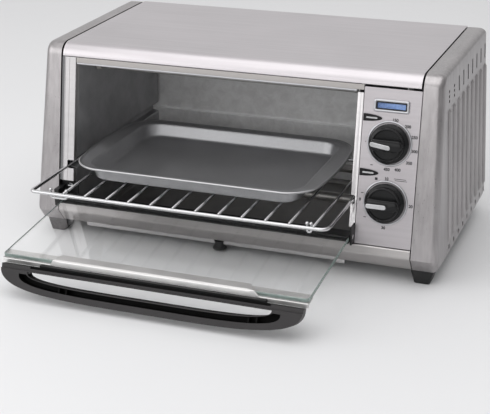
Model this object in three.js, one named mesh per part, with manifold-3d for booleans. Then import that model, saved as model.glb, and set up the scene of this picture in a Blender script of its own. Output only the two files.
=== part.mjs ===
// Countertop toaster oven with its glass door open and its rack drawn out.
// Millimetres, +Z up, +X to the right of the person facing the door, -Y towards that person.
// Inside this file the oven is laid out from its front crease: y = 0 is the fold above the sill
// bevel and z = 0 is the tabletop. The last group shifts it so that its origin is bottom centre.

import * as THREE from 'three';
import * as BufferGeometryUtils from 'three/addons/utils/BufferGeometryUtils.js';
import Module from 'manifold-3d';

const wasm = await Module();
wasm.setup();

// ---------------------------------------------------------------- driving dimensions

const BODY_WIDTH = 450;
const BODY_TOP = 212;
const BODY_BACK = 240;
const FOOT_HEIGHT = 15;
const FRONT_FOOT_Y = 13;
const REAR_FOOT_Y = 140;
const SIDE_TAPER = 0.0427;
const SHEET = 1.2;
const GAP = 0.3;

const LEAN = THREE.MathUtils.degToRad(9.9);
const CREASE_Z = 30.2;
const SILL_SETBACK = 11.3;
const SILL_TOP = 39.8;
const ROLL_RADIUS = 15;
const EDGE_RADIUS = 6;
const CAP_SEAM_X = 197;
const COVER_FRONT_Z = 198.8;

const OPENING_LEFT = -179.5;
const OPENING_RIGHT = 131.5;
const OPENING_TOP = 190.6;
const CAVITY_BACK = 232;
const CAVITY_FLOOR = 18;
const PANEL_LEFT = 138.6;
const PANEL_TOP = 196.6;
const PANEL_CENTRE_X = 167.5;

const RACK_Z = 84;
const RACK_FRONT = -76;
const RACK_BACK = 121;
const RACK_LEFT = -184;
const RACK_RIGHT = 134;
const FRAME_WIRE = 2.2;
const RUNG_WIRE = 1.5;

const HINGE_Y = -2;
const HINGE_Z = 48.5;
const DOOR_DROP = THREE.MathUtils.degToRad(4.7);
const DOOR_LEFT = -185.6;
const DOOR_RIGHT = 136;
const DOOR_LENGTH = 136;
const GLASS_THICKNESS = 4;

const KNOB_RADIUS = 19.8;
const TEMPERATURE_KNOB_Z = 143.2;
const TIMER_KNOB_Z = 84.4;
const SHAFT_RADIUS = 3;

const ARC_STEPS = 6;

// ---------------------------------------------------------------- materials

const metal = (color, roughness) => new THREE.MeshStandardMaterial({ color, roughness, metalness: 0.9 });
const plastic = (color, roughness) => new THREE.MeshStandardMaterial({ color, roughness, metalness: 0 });

const STEEL = metal(0xb5b2b3, 0.38);
const GALVANISED = metal(0xa3a4a5, 0.5);
const CHROME = metal(0xdcdcdc, 0.15);
const DARK_STEEL = metal(0x58595b, 0.5);
const NON_STICK = metal(0x4b4b50, 0.55);
const BLACK = plastic(0x1b1b1d, 0.45);
const CHARCOAL = plastic(0x4a474a, 0.5);
const CERAMIC = plastic(0xe6e1d6, 0.6);
const BOARD = plastic(0x2d5f3a, 0.6);
const BLUE = plastic(0x5f92dd, 0.3);
const GLASS = new THREE.MeshStandardMaterial({
  color: 0xdfeae6, roughness: 0.05, metalness: 0, transparent: true, opacity: 0.3,
});

// ---------------------------------------------------------------- solids: join and cut

function toSolid(geometry) {
  const bare = geometry.clone();
  bare.deleteAttribute('normal');
  bare.deleteAttribute('uv');
  const merged = BufferGeometryUtils.mergeVertices(bare, 1e-4);
  return new wasm.Manifold(new wasm.Mesh({
    numProp: 3,
    vertProperties: new Float32Array(merged.attributes.position.array),
    triVerts: new Uint32Array(merged.index.array),
  }));
}

function toGeometry(solid) {
  const mesh = solid.getMesh();
  const geometry = new THREE.BufferGeometry();
  geometry.setAttribute('position', new THREE.BufferAttribute(new Float32Array(mesh.vertProperties), 3));
  geometry.setIndex(new THREE.BufferAttribute(new Uint32Array(mesh.triVerts), 1));
  return geometry;
}

function join(...geometries) {
  return toGeometry(geometries.map(toSolid).reduce((whole, piece) => whole.add(piece)));
}

function cut(base, ...tools) {
  return toGeometry(tools.map(toSolid).reduce((whole, tool) => whole.subtract(tool), toSolid(base)));
}

// ---------------------------------------------------------------- basic shapes

function block(x0, x1, y0, y1, z0, z1) {
  const geometry = new THREE.BoxGeometry(x1 - x0, y1 - y0, z1 - z0);
  return geometry.translate((x0 + x1) / 2, (y0 + y1) / 2, (z0 + z1) / 2);
}

function rod(axis, radius, from, to, a, b, sides = 16) {
  const geometry = new THREE.CylinderGeometry(radius, radius, to - from, sides);
  const middle = (from + to) / 2;
  if (axis === 'x') return geometry.rotateZ(Math.PI / 2).translate(middle, a, b);
  if (axis === 'y') return geometry.translate(a, middle, b);
  return geometry.rotateX(Math.PI / 2).translate(a, b, middle);
}

// A closed outline in the Y-Z plane, extruded from x0 to x1.
function extrudeX(shape, x0, x1) {
  const geometry = new THREE.ExtrudeGeometry(shape, { depth: x1 - x0, bevelEnabled: false });
  const turn = new THREE.Matrix4().makeBasis(
    new THREE.Vector3(0, 1, 0), new THREE.Vector3(0, 0, 1), new THREE.Vector3(1, 0, 0));
  return geometry.applyMatrix4(turn).translate(x0, 0, 0);
}

// A closed outline in the X-Z plane, extruded from y0 back to y1.
function extrudeY(shape, y0, y1) {
  const geometry = new THREE.ExtrudeGeometry(shape, { depth: y1 - y0, bevelEnabled: false });
  return geometry.rotateX(Math.PI / 2).translate(0, y1, 0);
}

function extrudeZ(shape, z0, z1) {
  return new THREE.ExtrudeGeometry(shape, { depth: z1 - z0, bevelEnabled: false }).translate(0, 0, z0);
}

// Outline of a bent sheet: the given fold points, and the same points offset to their right.
function bentSheet(folds, thickness) {
  const points = folds.map(([a, b]) => new THREE.Vector2(a, b));
  const rightOf = (p, q) => new THREE.Vector2(q.y - p.y, p.x - q.x).normalize();
  const inner = points.map((point, i) => {
    const before = rightOf(points[Math.max(i - 1, 0)], points[Math.max(i, 1)]);
    const last = points.length - 1;
    const after = rightOf(points[Math.min(i, last - 1)], points[Math.min(i + 1, last)]);
    const mitre = before.clone().add(after).normalize();
    return point.clone().addScaledVector(mitre, thickness / mitre.dot(before));
  });
  return new THREE.Shape([...points, ...inner.reverse()]);
}

function roundedRectangle(x0, x1, y0, y1, radius) {
  const shape = new THREE.Shape();
  shape.moveTo(x0 + radius, y0);
  shape.lineTo(x1 - radius, y0);
  shape.absarc(x1 - radius, y0 + radius, radius, -Math.PI / 2, 0, false);
  shape.absarc(x1 - radius, y1 - radius, radius, 0, Math.PI / 2, false);
  shape.absarc(x0 + radius, y1 - radius, radius, Math.PI / 2, Math.PI, false);
  shape.absarc(x0 + radius, y0 + radius, radius, Math.PI, 1.5 * Math.PI, false);
  return shape;
}

function roundHole(x, y, radius, steps = 16) {
  const hole = new THREE.Path();
  for (let i = 0; i < steps; i += 1) {
    const angle = (-2 * Math.PI * i) / steps;
    const method = i === 0 ? 'moveTo' : 'lineTo';
    hole[method](x + radius * Math.cos(angle), y + radius * Math.sin(angle));
  }
  hole.closePath();
  return hole;
}

// A closed skin through rings of equally many points, with a flat fan over each end.
function loft(rings) {
  const count = rings[0].length;
  const positions = rings.flat().flatMap((p) => [p.x, p.y, p.z]);
  const index = [];
  for (let ring = 0; ring < rings.length - 1; ring += 1) {
    for (let i = 0; i < count; i += 1) {
      const a = ring * count + i;
      const b = ring * count + ((i + 1) % count);
      index.push(a, b, b + count, a, b + count, a + count);
    }
  }
  const addCap = (ring, first, flip) => {
    const centre = ring.reduce((sum, p) => sum.add(p), new THREE.Vector3()).divideScalar(count);
    const hub = positions.length / 3;
    positions.push(centre.x, centre.y, centre.z);
    for (let i = 0; i < count; i += 1) {
      const a = first + i;
      const b = first + ((i + 1) % count);
      index.push(...(flip ? [b, a, hub] : [a, b, hub]));
    }
  };
  addCap(rings[0], 0, true);
  addCap(rings.at(-1), (rings.length - 1) * count, false);
  const geometry = new THREE.BufferGeometry();
  geometry.setAttribute('position', new THREE.BufferAttribute(new Float32Array(positions), 3));
  geometry.setIndex(index);
  return geometry;
}

// A path through given points, stepped point by point so that a bend keeps its own arc.
class WirePath extends THREE.Curve {
  constructor(points) {
    super();
    this.points = points;
  }

  getPointAt(u) {
    return this.points[Math.round(u * (this.points.length - 1))].clone();
  }

  getTangentAt(u) {
    const last = this.points.length - 1;
    const i = Math.round(u * last);
    const ahead = this.points[Math.min(i + 1, last)];
    return ahead.clone().sub(this.points[Math.max(i - 1, 0)]).normalize();
  }
}

// Corner points given as [x, y, z], each inner one rounded to the bend radius.
function wire(corners, radius, bend, sides = 8) {
  const vectors = corners.map((corner) => new THREE.Vector3(...corner));
  const points = [vectors[0]];
  for (let i = 1; i < vectors.length - 1; i += 1) {
    const here = vectors[i];
    const back = vectors[i - 1].clone().sub(here).normalize();
    const ahead = vectors[i + 1].clone().sub(here).normalize();
    const start = here.clone().addScaledVector(back, bend);
    const end = here.clone().addScaledVector(ahead, bend);
    points.push(...new THREE.QuadraticBezierCurve3(start, here, end).getPoints(4));
  }
  points.push(vectors.at(-1));
  const section = new THREE.Shape(roundHole(0, 0, radius, sides).getPoints(1));
  return new THREE.ExtrudeGeometry(section, {
    steps: points.length - 1, extrudePath: new WirePath(points), bevelEnabled: false,
  });
}

// ---------------------------------------------------------------- groups

const oven = new THREE.Group();

// The leaning front: local x across, y up the slope from the crease, z out of the front.
const front = new THREE.Group();
front.position.z = CREASE_Z;
front.rotation.x = Math.PI / 2 - LEAN;
oven.add(front);

// The open door: local y from the hinge to the handle edge, z out of its outer face.
const door = new THREE.Group();
door.position.set(0, HINGE_Y, HINGE_Z);
door.rotation.x = Math.PI + DOOR_DROP;
oven.add(door);

function part(parent, name, geometry, material) {
  const mesh = new THREE.Mesh(geometry, material);
  mesh.name = name;
  parent.add(mesh);
}

const frontY = (z) => (z - CREASE_Z) * Math.tan(LEAN);
const upFront = (z) => (z - CREASE_Z) / Math.cos(LEAN);
const sideX = (z) => BODY_WIDTH / 2 - SIDE_TAPER * (z - FOOT_HEIGHT);

// Where the roll from the leaning front to the flat top has its centre.
function rollCentre(inset, radius) {
  const z = BODY_TOP - inset - radius;
  const y = (inset + radius + (z - CREASE_Z) * Math.sin(LEAN)) / Math.cos(LEAN);
  return { y, z };
}

// Points round the roll, from the front's tangent point up to the top.
function rollPoints(inset, radius) {
  const centre = rollCentre(inset, radius);
  const points = [];
  for (let i = 0; i <= ARC_STEPS; i += 1) {
    const angle = Math.PI - LEAN - (i / ARC_STEPS) * (Math.PI / 2 - LEAN);
    points.push([centre.y + radius * Math.cos(angle), centre.z + radius * Math.sin(angle)]);
  }
  return points;
}

// ---------------------------------------------------------------- outer shell

function topCover() {
  const frontEdge = [frontY(COVER_FRONT_Z), COVER_FRONT_Z];
  const folds = [frontEdge, ...rollPoints(0, ROLL_RADIUS), [BODY_BACK, BODY_TOP]];
  return extrudeX(bentSheet(folds, SHEET), -CAP_SEAM_X + GAP / 2, CAP_SEAM_X - GAP / 2);
}

// One ring of an end cap: its outline moved in by `inset` at front and top, and by `skin` all round.
function capRing(inset, skin, xAt) {
  const depth = inset + skin;
  const radius = Math.max(ROLL_RADIUS - depth, 5);
  const top = BODY_TOP - depth;
  const back = BODY_BACK - skin;
  const bottom = FOOT_HEIGHT + skin;
  const rearCorner = 14;
  const outline = [
    [SILL_SETBACK + depth, bottom],
    [depth / Math.cos(LEAN), CREASE_Z],
    ...rollPoints(depth, radius),
    [back - 5, top],
    [back, top - 5],
    [back, bottom + rearCorner],
    [back - rearCorner * 0.3, bottom + rearCorner * 0.3],
    [back - rearCorner, bottom],
  ];
  return outline.map(([y, z]) => new THREE.Vector3(xAt(z), y, z));
}

function capSolid(skin, openX) {
  const rings = [capRing(0, skin, () => openX)];
  const steps = 4;
  for (let i = 0; i <= steps; i += 1) {
    const angle = (i / steps) * (Math.PI / 2);
    const inset = EDGE_RADIUS * (1 - Math.cos(angle));
    const setback = EDGE_RADIUS * (1 - Math.sin(angle)) + skin;
    rings.push(capRing(inset, skin, (z) => sideX(z) - setback));
  }
  return loft(rings.map((ring) => ring.reverse()));
}

// The cap's vertical ribs; slots pierce it at the foot of each and at the head of most.
const FIRST_RIB = 54;
const RIB_PITCH = 22;
const RIB_COUNT = 9;
const SLOT_HALF = 1.5;

function rightEndCap() {
  const outer = capSolid(0, CAP_SEAM_X + GAP / 2);
  const inner = capSolid(SHEET, CAP_SEAM_X - 5);
  const slot = (rib, z0, z1) => {
    const y = FIRST_RIB + rib * RIB_PITCH;
    return block(CAP_SEAM_X + 3, BODY_WIDTH / 2 + 5, y - SLOT_HALF, y + SLOT_HALF, z0, z1);
  };
  const slots = [];
  for (let rib = 0; rib < RIB_COUNT; rib += 1) {
    slots.push(slot(rib, 24.5, 29.5));
    if (rib > 1) slots.push(slot(rib, 180, 196));
  }
  return cut(outer, inner, ...slots);
}

function mirrored(geometry) {
  const copy = geometry.clone().scale(-1, 1, 1);
  const index = copy.index.array;
  for (let i = 0; i < index.length; i += 3) {
    [index[i], index[i + 1]] = [index[i + 1], index[i]];
  }
  return copy;
}

function frontSill() {
  const folds = [
    [frontY(SILL_TOP) + 8, SILL_TOP],
    [frontY(SILL_TOP), SILL_TOP],
    [0, CREASE_Z],
    [SILL_SETBACK, FOOT_HEIGHT],
    [16, FOOT_HEIGHT],
  ];
  return extrudeX(bentSheet(folds.reverse(), SHEET), -CAP_SEAM_X + GAP / 2, CAP_SEAM_X - GAP / 2);
}

const TRAY_LEFT = -174;
const TRAY_RIGHT = 126;
const TRAY_FRONT = 21;
const TRAY_BACK = 225;
const UNDERSIDE = FOOT_HEIGHT + SHEET;

function basePlate() {
  const half = CAP_SEAM_X - GAP;
  const frame = block(-half, half, 16.4, BODY_BACK - 2, FOOT_HEIGHT, UNDERSIDE);
  const opening = block(TRAY_LEFT, TRAY_RIGHT, TRAY_FRONT, TRAY_BACK, FOOT_HEIGHT - 5, UNDERSIDE + 5);
  return cut(frame, opening);
}

function rearPanel() {
  const half = CAP_SEAM_X - 0.4;
  const y = BODY_BACK - 1.4;
  const plate = block(-half, half, y, y + SHEET, UNDERSIDE + GAP, BODY_TOP - SHEET - GAP);
  const slots = [];
  for (let row = 0; row < 2; row += 1) {
    for (let column = -4; column <= 4; column += 1) {
      const x = column * 38;
      const z = 176 + row * 14;
      slots.push(block(x - 13, x + 13, y - 2, y + 4, z, z + 4));
    }
  }
  slots.push(rod('y', 8, y - 3, y + 5, 170, 45));
  return cut(plate, ...slots);
}

function cordGland() {
  const profile = [
    [0, -9], [7.6, -9], [7.6, 1.4], [10.5, 1.4], [10.5, 4], [5, 5.4], [0, 5.4],
  ].map(([r, h]) => new THREE.Vector2(r, h));
  const bush = new THREE.LatheGeometry(profile, 20);
  const passage = new THREE.CylinderGeometry(3.6, 3.6, 30, 12);
  return cut(bush, passage).translate(170, BODY_BACK - 1.2, 45);
}

// A tapered foot; y is the front edge of its sole.
function foot(sign, y) {
  const sole = { inner: 198, outer: 215, depth: 23 };
  const flare = 4;
  const [inner, outer, front, back] = [sole.inner - flare, sole.outer + flare, y - 1, y + sole.depth + flare];
  const top = [[inner, front], [outer, front], [outer, back], [inner, back]];
  const bottom = [
    [sole.inner, y], [sole.outer, y], [sole.outer, y + sole.depth], [sole.inner, y + sole.depth],
  ];
  const ring = (corners, z) => corners.map(([x, cornerY]) => new THREE.Vector3(sign * x, cornerY, z));
  const rings = [ring(bottom, 0), ring(top, FOOT_HEIGHT - 3), ring(top, FOOT_HEIGHT - GAP)];
  return loft(sign > 0 ? rings : rings.map((corners) => corners.reverse()));
}

// ---------------------------------------------------------------- front face (local frame of `front`)

const RECESS_TOP = 61;

function headerStrip() {
  const bottom = upFront(OPENING_TOP + 0.3);
  const top = upFront(COVER_FRONT_Z - 0.5);
  const face = block(OPENING_LEFT - 10, PANEL_LEFT - 0.6, bottom, top, -SHEET, 0);
  const lip = block(OPENING_LEFT + 1, OPENING_RIGHT - 1, bottom, bottom + SHEET, -9, -0.5);
  return join(face, lip);
}

function leftJamb() {
  const bottom = upFront(RECESS_TOP + 5);
  const top = upFront(OPENING_TOP - 0.2);
  const face = block(OPENING_LEFT - 10.5, OPENING_LEFT, bottom, top, -SHEET, 0);
  const reveal = block(OPENING_LEFT - SHEET, OPENING_LEFT, bottom, top, -7, -0.5);
  const step = block(OPENING_LEFT - 10.5, OPENING_LEFT - 9.3, bottom, top, -6, -0.5);
  const channel = block(-CAP_SEAM_X + 0.4, OPENING_LEFT - 9.5, bottom, top, -6.2, -5);
  const rackNotch = upFront(RACK_Z);
  const notch = block(RACK_LEFT - 3.5, OPENING_LEFT + 2, rackNotch - 4.5, rackNotch + 4.5, -20, 5);
  return cut(join(face, reveal, step, channel), notch);
}

function rightJamb() {
  const bottom = upFront(RECESS_TOP);
  const top = upFront(OPENING_TOP - 0.2);
  const face = block(OPENING_RIGHT, PANEL_LEFT - 0.6, bottom, top, -SHEET, 0);
  const reveal = block(OPENING_RIGHT, OPENING_RIGHT + SHEET, bottom, top, -7, -0.5);
  const returnEdge = block(PANEL_LEFT - 0.6 - SHEET, PANEL_LEFT - 0.6, bottom, top, -7, -0.5);
  const rackNotch = upFront(RACK_Z);
  const notchEnd = RACK_RIGHT + FRAME_WIRE + 0.4;
  const notch = block(OPENING_RIGHT - 2, notchEnd, rackNotch - 4.5, rackNotch + 4.5, -20, 5);
  return cut(join(face, reveal, returnEdge), notch);
}

const DISPLAY_LEFT = 149;
const DISPLAY_RIGHT = 185;
const DISPLAY_BOTTOM = upFront(173.5);
const DISPLAY_TOP = upFront(186);

// The display's outline, moved in by `inset`.
function displayOutline(inset, corner) {
  return roundedRectangle(
    DISPLAY_LEFT + inset, DISPLAY_RIGHT - inset, DISPLAY_BOTTOM + inset, DISPLAY_TOP - inset, corner);
}

function controlPanel() {
  const shape = roundedRectangle(
    PANEL_LEFT, CAP_SEAM_X - 0.5, upFront(SILL_TOP + 0.6), upFront(PANEL_TOP), 0.8);
  for (const z of [TEMPERATURE_KNOB_Z, TIMER_KNOB_Z]) {
    shape.holes.push(roundHole(PANEL_CENTRE_X, upFront(z), SHAFT_RADIUS + 1.5));
  }
  shape.holes.push(new THREE.Path(displayOutline(2, 0.6).getPoints(1).reverse()));
  return extrudeZ(shape, -SHEET, 0);
}

function displayBezel() {
  const shape = displayOutline(0, 1.5);
  shape.holes.push(new THREE.Path(displayOutline(2.4, 0.6).getPoints(1).reverse()));
  return extrudeZ(shape, GAP, 1.6);
}

function displayLens() {
  return extrudeZ(displayOutline(2.8, 0.3), -0.7, 0.3);
}

function displayScreen() {
  return extrudeZ(displayOutline(2.8, 0.3), -4.5, -1.2);
}

function controlBoard() {
  return block(DISPLAY_LEFT - 6, DISPLAY_RIGHT + 6, DISPLAY_BOTTOM - 8, DISPLAY_TOP + 4, -6.4, -4.8);
}

function dialRing(z) {
  const profile = [[20.6, GAP], [23, GAP], [22.6, 1.4], [20.6, 1.4], [20.6, GAP]];
  const ring = new THREE.LatheGeometry(profile.map(([r, h]) => new THREE.Vector2(r, h)), 32);
  return ring.rotateX(Math.PI / 2).translate(PANEL_CENTRE_X, upFront(z), 0);
}

// A blank half-oval plate at the left edge of the panel.
function badge(z) {
  const shape = new THREE.Shape();
  shape.absellipse(PANEL_LEFT + 0.6, upFront(z), 19.2, 3.7, -Math.PI / 2, Math.PI / 2, false);
  return extrudeZ(new THREE.Shape(shape.getPoints(12)), GAP, 0.9);
}

const GRIP_TOP = 17.5;

function knob(z) {
  const profile = [
    [0, 1.6], [KNOB_RADIUS, 1.6], [KNOB_RADIUS, 5.5], [18.6, 6.6], [16.4, 7], [16, 11], [0, 11],
  ].map(([r, h]) => new THREE.Vector2(r, h));
  const body = new THREE.LatheGeometry(profile, 28).rotateX(Math.PI / 2);
  const grip = extrudeZ(roundedRectangle(-16.5, 16.5, -5, 5, 4.6), 10, GRIP_TOP);
  const bore = rod('z', SHAFT_RADIUS + GAP, 0, 11, 0, 0, 12);
  const pointerSeat = block(-17.5, 3, -2.6, 2.6, GRIP_TOP - 1.2, GRIP_TOP + 2);
  return cut(join(body, grip), bore, pointerSeat).translate(PANEL_CENTRE_X, upFront(z), 0);
}

function knobPointer(z) {
  const plate = block(-15.9, 2.6, -2.2, 2.2, GRIP_TOP - 0.9, GRIP_TOP + 0.3);
  return plate.translate(PANEL_CENTRE_X, upFront(z), 0);
}

function controlShaft(z) {
  return rod('z', SHAFT_RADIUS, -16, 10.7, PANEL_CENTRE_X, upFront(z), 12);
}

// Thermostat or timer: a case behind the panel with a clear well for its shaft.
function shaftDrive(z, halfWidth, depth) {
  const y = upFront(z);
  const shape = roundedRectangle(PANEL_CENTRE_X - halfWidth, PANEL_CENTRE_X + halfWidth, y - 19, y + 19, 3);
  const well = rod('z', SHAFT_RADIUS + GAP, -17, 2, PANEL_CENTRE_X, y, 12);
  return cut(extrudeZ(shape, -depth, -SHEET - GAP), well);
}

// ---------------------------------------------------------------- cavity

const GROOVE_HALF = 4.2;
const GROOVE_SLACK = 3.2;

// A side wall: a sheet with an outward groove round the rack's side wire.
function cavityWall(x, wireX) {
  const outward = Math.sign(x);
  const out = wireX + outward * GROOVE_SLACK;
  const folds = [
    [x, CAVITY_FLOOR],
    [x, RACK_Z - GROOVE_HALF],
    [out, RACK_Z - GROOVE_HALF],
    [out, RACK_Z + GROOVE_HALF],
    [x, RACK_Z + GROOVE_HALF],
    [x, OPENING_TOP],
  ];
  const ordered = outward > 0 ? folds : folds.reverse();
  const wall = extrudeY(bentSheet(ordered, 1), 19, CAVITY_BACK - GAP);
  const behindJamb = block(x - 12, x + 12, 18, frontY(OPENING_TOP) + 9, RECESS_TOP, OPENING_TOP + 5);
  return cut(wall, behindJamb);
}

function cavityCeiling() {
  const front = frontY(OPENING_TOP) + 10;
  return block(OPENING_LEFT, OPENING_RIGHT, front, CAVITY_BACK - GAP, OPENING_TOP + 1.6, OPENING_TOP + 2.6);
}

function cavityRearWall() {
  const bead = 82;
  const folds = [
    [CAVITY_BACK, OPENING_TOP + 3],
    [CAVITY_BACK, bead + 3],
    [CAVITY_BACK + 2.5, bead],
    [CAVITY_BACK, bead - 3],
    [CAVITY_BACK, UNDERSIDE + GAP],
  ];
  return extrudeX(bentSheet(folds.reverse(), 1), OPENING_LEFT - 9, OPENING_RIGHT + 7);
}

const HEATER_RADIUS = 4;
const HEATER_ROWS = [78, 168];
const UPPER_HEATER_Z = 178;
const LOWER_HEATER_Z = 56;

function heater(y, z) {
  return rod('x', HEATER_RADIUS, OPENING_LEFT + 3, OPENING_RIGHT - 3, y, z, 12);
}

function heaterSupport(side, z) {
  const x = side < 0 ? OPENING_LEFT + 0.4 : OPENING_RIGHT - 0.4;
  const inner = x - side * 12;
  const [low, high] = [Math.min(x, inner), Math.max(x, inner)];
  const bar = block(low, high, HEATER_ROWS[0] - 8, HEATER_ROWS[1] + 8, z - 7, z + 7);
  const middle = block(low - 1, high + 1, HEATER_ROWS[0] + 9, HEATER_ROWS[1] - 9, z - 5, z + 9);
  const socket = (y) => rod('x', HEATER_RADIUS + GAP, OPENING_LEFT + 2.4, OPENING_RIGHT - 2.4, y, z, 12);
  const sockets = HEATER_ROWS.map(socket);
  return cut(bar, middle, ...sockets);
}

// ---------------------------------------------------------------- door (local frame of `door`)

const RAIL_HALF = 4.2;
const RAIL_LEFT = -190.6;
const PIN_RADIUS = 2.5;
const PIN_BORE = 2.8;
const TRIM_BACK = 122;
const LIP_DROP = 4.6;
const TRIM_RISE_LEFT = -128;
const TRIM_RISE_RIGHT = 82;

function doorGlass() {
  const half = GLASS_THICKNESS / 2;
  return extrudeZ(roundedRectangle(DOOR_LEFT, DOOR_RIGHT, 3, DOOR_LENGTH - 1.6, 2), -half, half);
}

function hingeRail() {
  const bar = block(RAIL_LEFT, DOOR_RIGHT, -RAIL_HALF, 9, -RAIL_HALF, RAIL_HALF);
  const half = GLASS_THICKNESS / 2 + GAP;
  const groove = block(DOOR_LEFT - GAP, DOOR_RIGHT + 5, 3 - GAP, 20, -half, half);
  const leftBore = rod('x', PIN_BORE, RAIL_LEFT - 5, RAIL_LEFT + 8, 0, 0, 12);
  const rightBore = rod('x', PIN_BORE, DOOR_RIGHT - 9, DOOR_RIGHT + 5, 0, 0, 12);
  return cut(bar, groove, leftBore, rightBore);
}

function hingePin(side) {
  if (side < 0) return rod('x', PIN_RADIUS, RAIL_LEFT - 5, RAIL_LEFT + 7, 0, 0, 12);
  return rod('x', PIN_RADIUS, DOOR_RIGHT - 8, DOOR_RIGHT + 2.2, 0, 0, 12);
}

// A strip along the free edge: an L under the glass at both ends, rising to wrap it in between.
function doorTrim() {
  const under = GLASS_THICKNESS / 2 + GAP;
  const end = DOOR_LENGTH;
  const face = end - SHEET;
  const flange = block(DOOR_LEFT, DOOR_RIGHT, TRIM_BACK, end, under, under + SHEET);
  const leftLip = block(DOOR_LEFT, TRIM_RISE_LEFT + 2, face, end, under, under + LIP_DROP);
  const rightLip = block(TRIM_RISE_RIGHT - 2, DOOR_RIGHT, face, end, under, under + LIP_DROP);
  const raised = block(TRIM_RISE_LEFT, TRIM_RISE_RIGHT, face, end, -under - SHEET, under + 3);
  const cover = block(TRIM_RISE_LEFT, TRIM_RISE_RIGHT, TRIM_BACK + 2, end, -under - SHEET, -under);
  return join(flange, leftLip, rightLip, raised, cover);
}

const HANDLE_REACH = 31.5;
const HANDLE_TILT = THREE.MathUtils.degToRad(25);
const HANDLE_HALF_WIDTH = 158;
const HANDLE_CENTRE_X = -24;

// A solid arch: flat-topped, dropping steeply at both ends to a straight edge at `base`.
function arch(halfWidth, base, reach, z0, z1) {
  const points = [];
  const steps = 16;
  for (let i = 0; i <= steps; i += 1) {
    const angle = (i / steps) * Math.PI;
    const across = Math.sign(Math.cos(angle)) * Math.abs(Math.cos(angle)) ** 0.5;
    const out = Math.sin(angle) ** 0.87;
    points.push(new THREE.Vector2(across * halfWidth, base + out * (reach - base)));
  }
  return extrudeZ(new THREE.Shape(points), z0, z1);
}

// The grip: a D-shaped ring in the X-Y plane of its own tilted group, with a channel in its bow.
function doorHandle() {
  const [upper, lower] = [-6, 4];
  const root = block(-HANDLE_HALF_WIDTH, HANDLE_HALF_WIDTH, 0, 2.5, -4, lower);
  const whole = join(root, arch(HANDLE_HALF_WIDTH, 2, HANDLE_REACH, upper, lower));
  const aboveRoot = block(-200, 200, -5, 5, upper - 5, -4);
  const fingerGap = arch(128, 5.5, 15.5, upper - 5, lower + 5);
  const channel = cut(arch(137, 8, 22.5, upper - 5, 1), arch(130, 4, 16.8, upper - 6, 2));
  return cut(whole, aboveRoot, fingerGap, channel);
}

// ---------------------------------------------------------------- rack, hooks and pan

function rack() {
  const z = RACK_Z;
  const left = [[RACK_LEFT, RACK_BACK, z], [RACK_LEFT, RACK_FRONT, z]];
  const right = [[RACK_RIGHT, RACK_FRONT, z], [RACK_RIGHT, RACK_BACK, z]];
  const frame = wire([...left, ...right], FRAME_WIRE, 9);
  const pieces = [frame, rod('x', FRAME_WIRE, RACK_LEFT, RACK_RIGHT, RACK_BACK, z, 8)];
  pieces.push(rod('x', FRAME_WIRE, RACK_LEFT, RACK_RIGHT, (RACK_FRONT + RACK_BACK) / 2, z, 8));
  const rungCount = 12;
  const firstRung = -145.5;
  const rungPitch = 24.2;
  for (let i = 0; i < rungCount; i += 1) {
    const x = firstRung + i * rungPitch;
    pieces.push(rod('y', RUNG_WIRE, RACK_FRONT - 1.5, RACK_BACK + 1.5, x, z + 2.6, 6));
  }
  return join(...pieces);
}

// A U of thin wire behind the front rail, where the door's linkage pulls the rack.
function pullHook(x) {
  const radius = 1.1;
  const half = 7;
  const y = RACK_FRONT + FRAME_WIRE + radius + GAP;
  const [top, low] = [RACK_Z + 0.7, RACK_Z - 5.5];
  return wire([[x - half, y, top], [x - half, y, low], [x + half, y, low], [x + half, y, top]], radius, 3, 6);
}

const PAN = { left: -160, right: 113, front: -48, back: 123, bottom: 88.4, rim: 105.5, corner: 30 };

// One ring of the pan: its rim outline moved in by `inset`, at height z.
function panRing(inset, z) {
  const radius = Math.max(PAN.corner - inset, 4);
  const shape = roundedRectangle(
    PAN.left + inset, PAN.right - inset, PAN.front + inset, PAN.back - inset, radius);
  const points = shape.getPoints(5).slice(0, -1);
  return points.map((p) => new THREE.Vector3(p.x, p.y, z));
}

function bakePan() {
  const { bottom, rim } = PAN;
  const wallInset = 13;
  return loft([
    panRing(wallInset + 5, bottom),
    panRing(wallInset, bottom + 2.5),
    panRing(4.5, rim - 3),
    panRing(0.8, rim - 2.6),
    panRing(0, rim - 1.2),
    panRing(1.5, rim),
    panRing(5, rim - 0.4),
    panRing(wallInset + 1.3, bottom + 3.2),
    panRing(wallInset + 6, bottom + 1.2),
  ]);
}

// ---------------------------------------------------------------- crumb tray

function crumbTray() {
  const clearance = 0.8;
  const [x0, x1] = [TRAY_LEFT + clearance, TRAY_RIGHT - clearance];
  const [y0, y1] = [TRAY_FRONT + clearance, TRAY_BACK - clearance];
  const bottom = 12.6;
  const slab = block(x0, x1, y0, y1, bottom, bottom + 5);
  const inside = block(x0 + 1, x1 - 1, y0 + 1, y1 - 1, bottom + 1, bottom + 10);
  const lip = block(x0, x1, y0 - 3.5, y0 + 1, bottom - 4, bottom + 1);
  const lipInside = block(x0 - 1, x1 + 1, y0 - 2.5, y0 + 5, bottom - 8, bottom);
  return cut(join(slab, cut(lip, lipInside)), inside);
}

function crumbTrayKnob() {
  const profile = [
    [0, 2.5], [8, 2.5], [8, 5], [6.2, 7.5], [6.2, 8.2], [0, 8.2],
  ].map(([r, h]) => new THREE.Vector2(r, h));
  return new THREE.LatheGeometry(profile, 20).rotateX(Math.PI / 2).translate(-15, TRAY_FRONT + 2, 0);
}

// ---------------------------------------------------------------- hinge brackets

const SCREW_X = -185;
const SCREW_Z = 59.5;
const FLANGE_Y = 11;

// A plate with the bore that a hinge pin turns in.
function hingePlate(x0, x1) {
  const plate = block(x0, x1, HINGE_Y - 5, 18, SILL_TOP + 1, RECESS_TOP - 1.5);
  return cut(plate, rod('x', PIN_BORE, x0 - 2, x1 + 2, HINGE_Y, HINGE_Z, 12));
}

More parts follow.
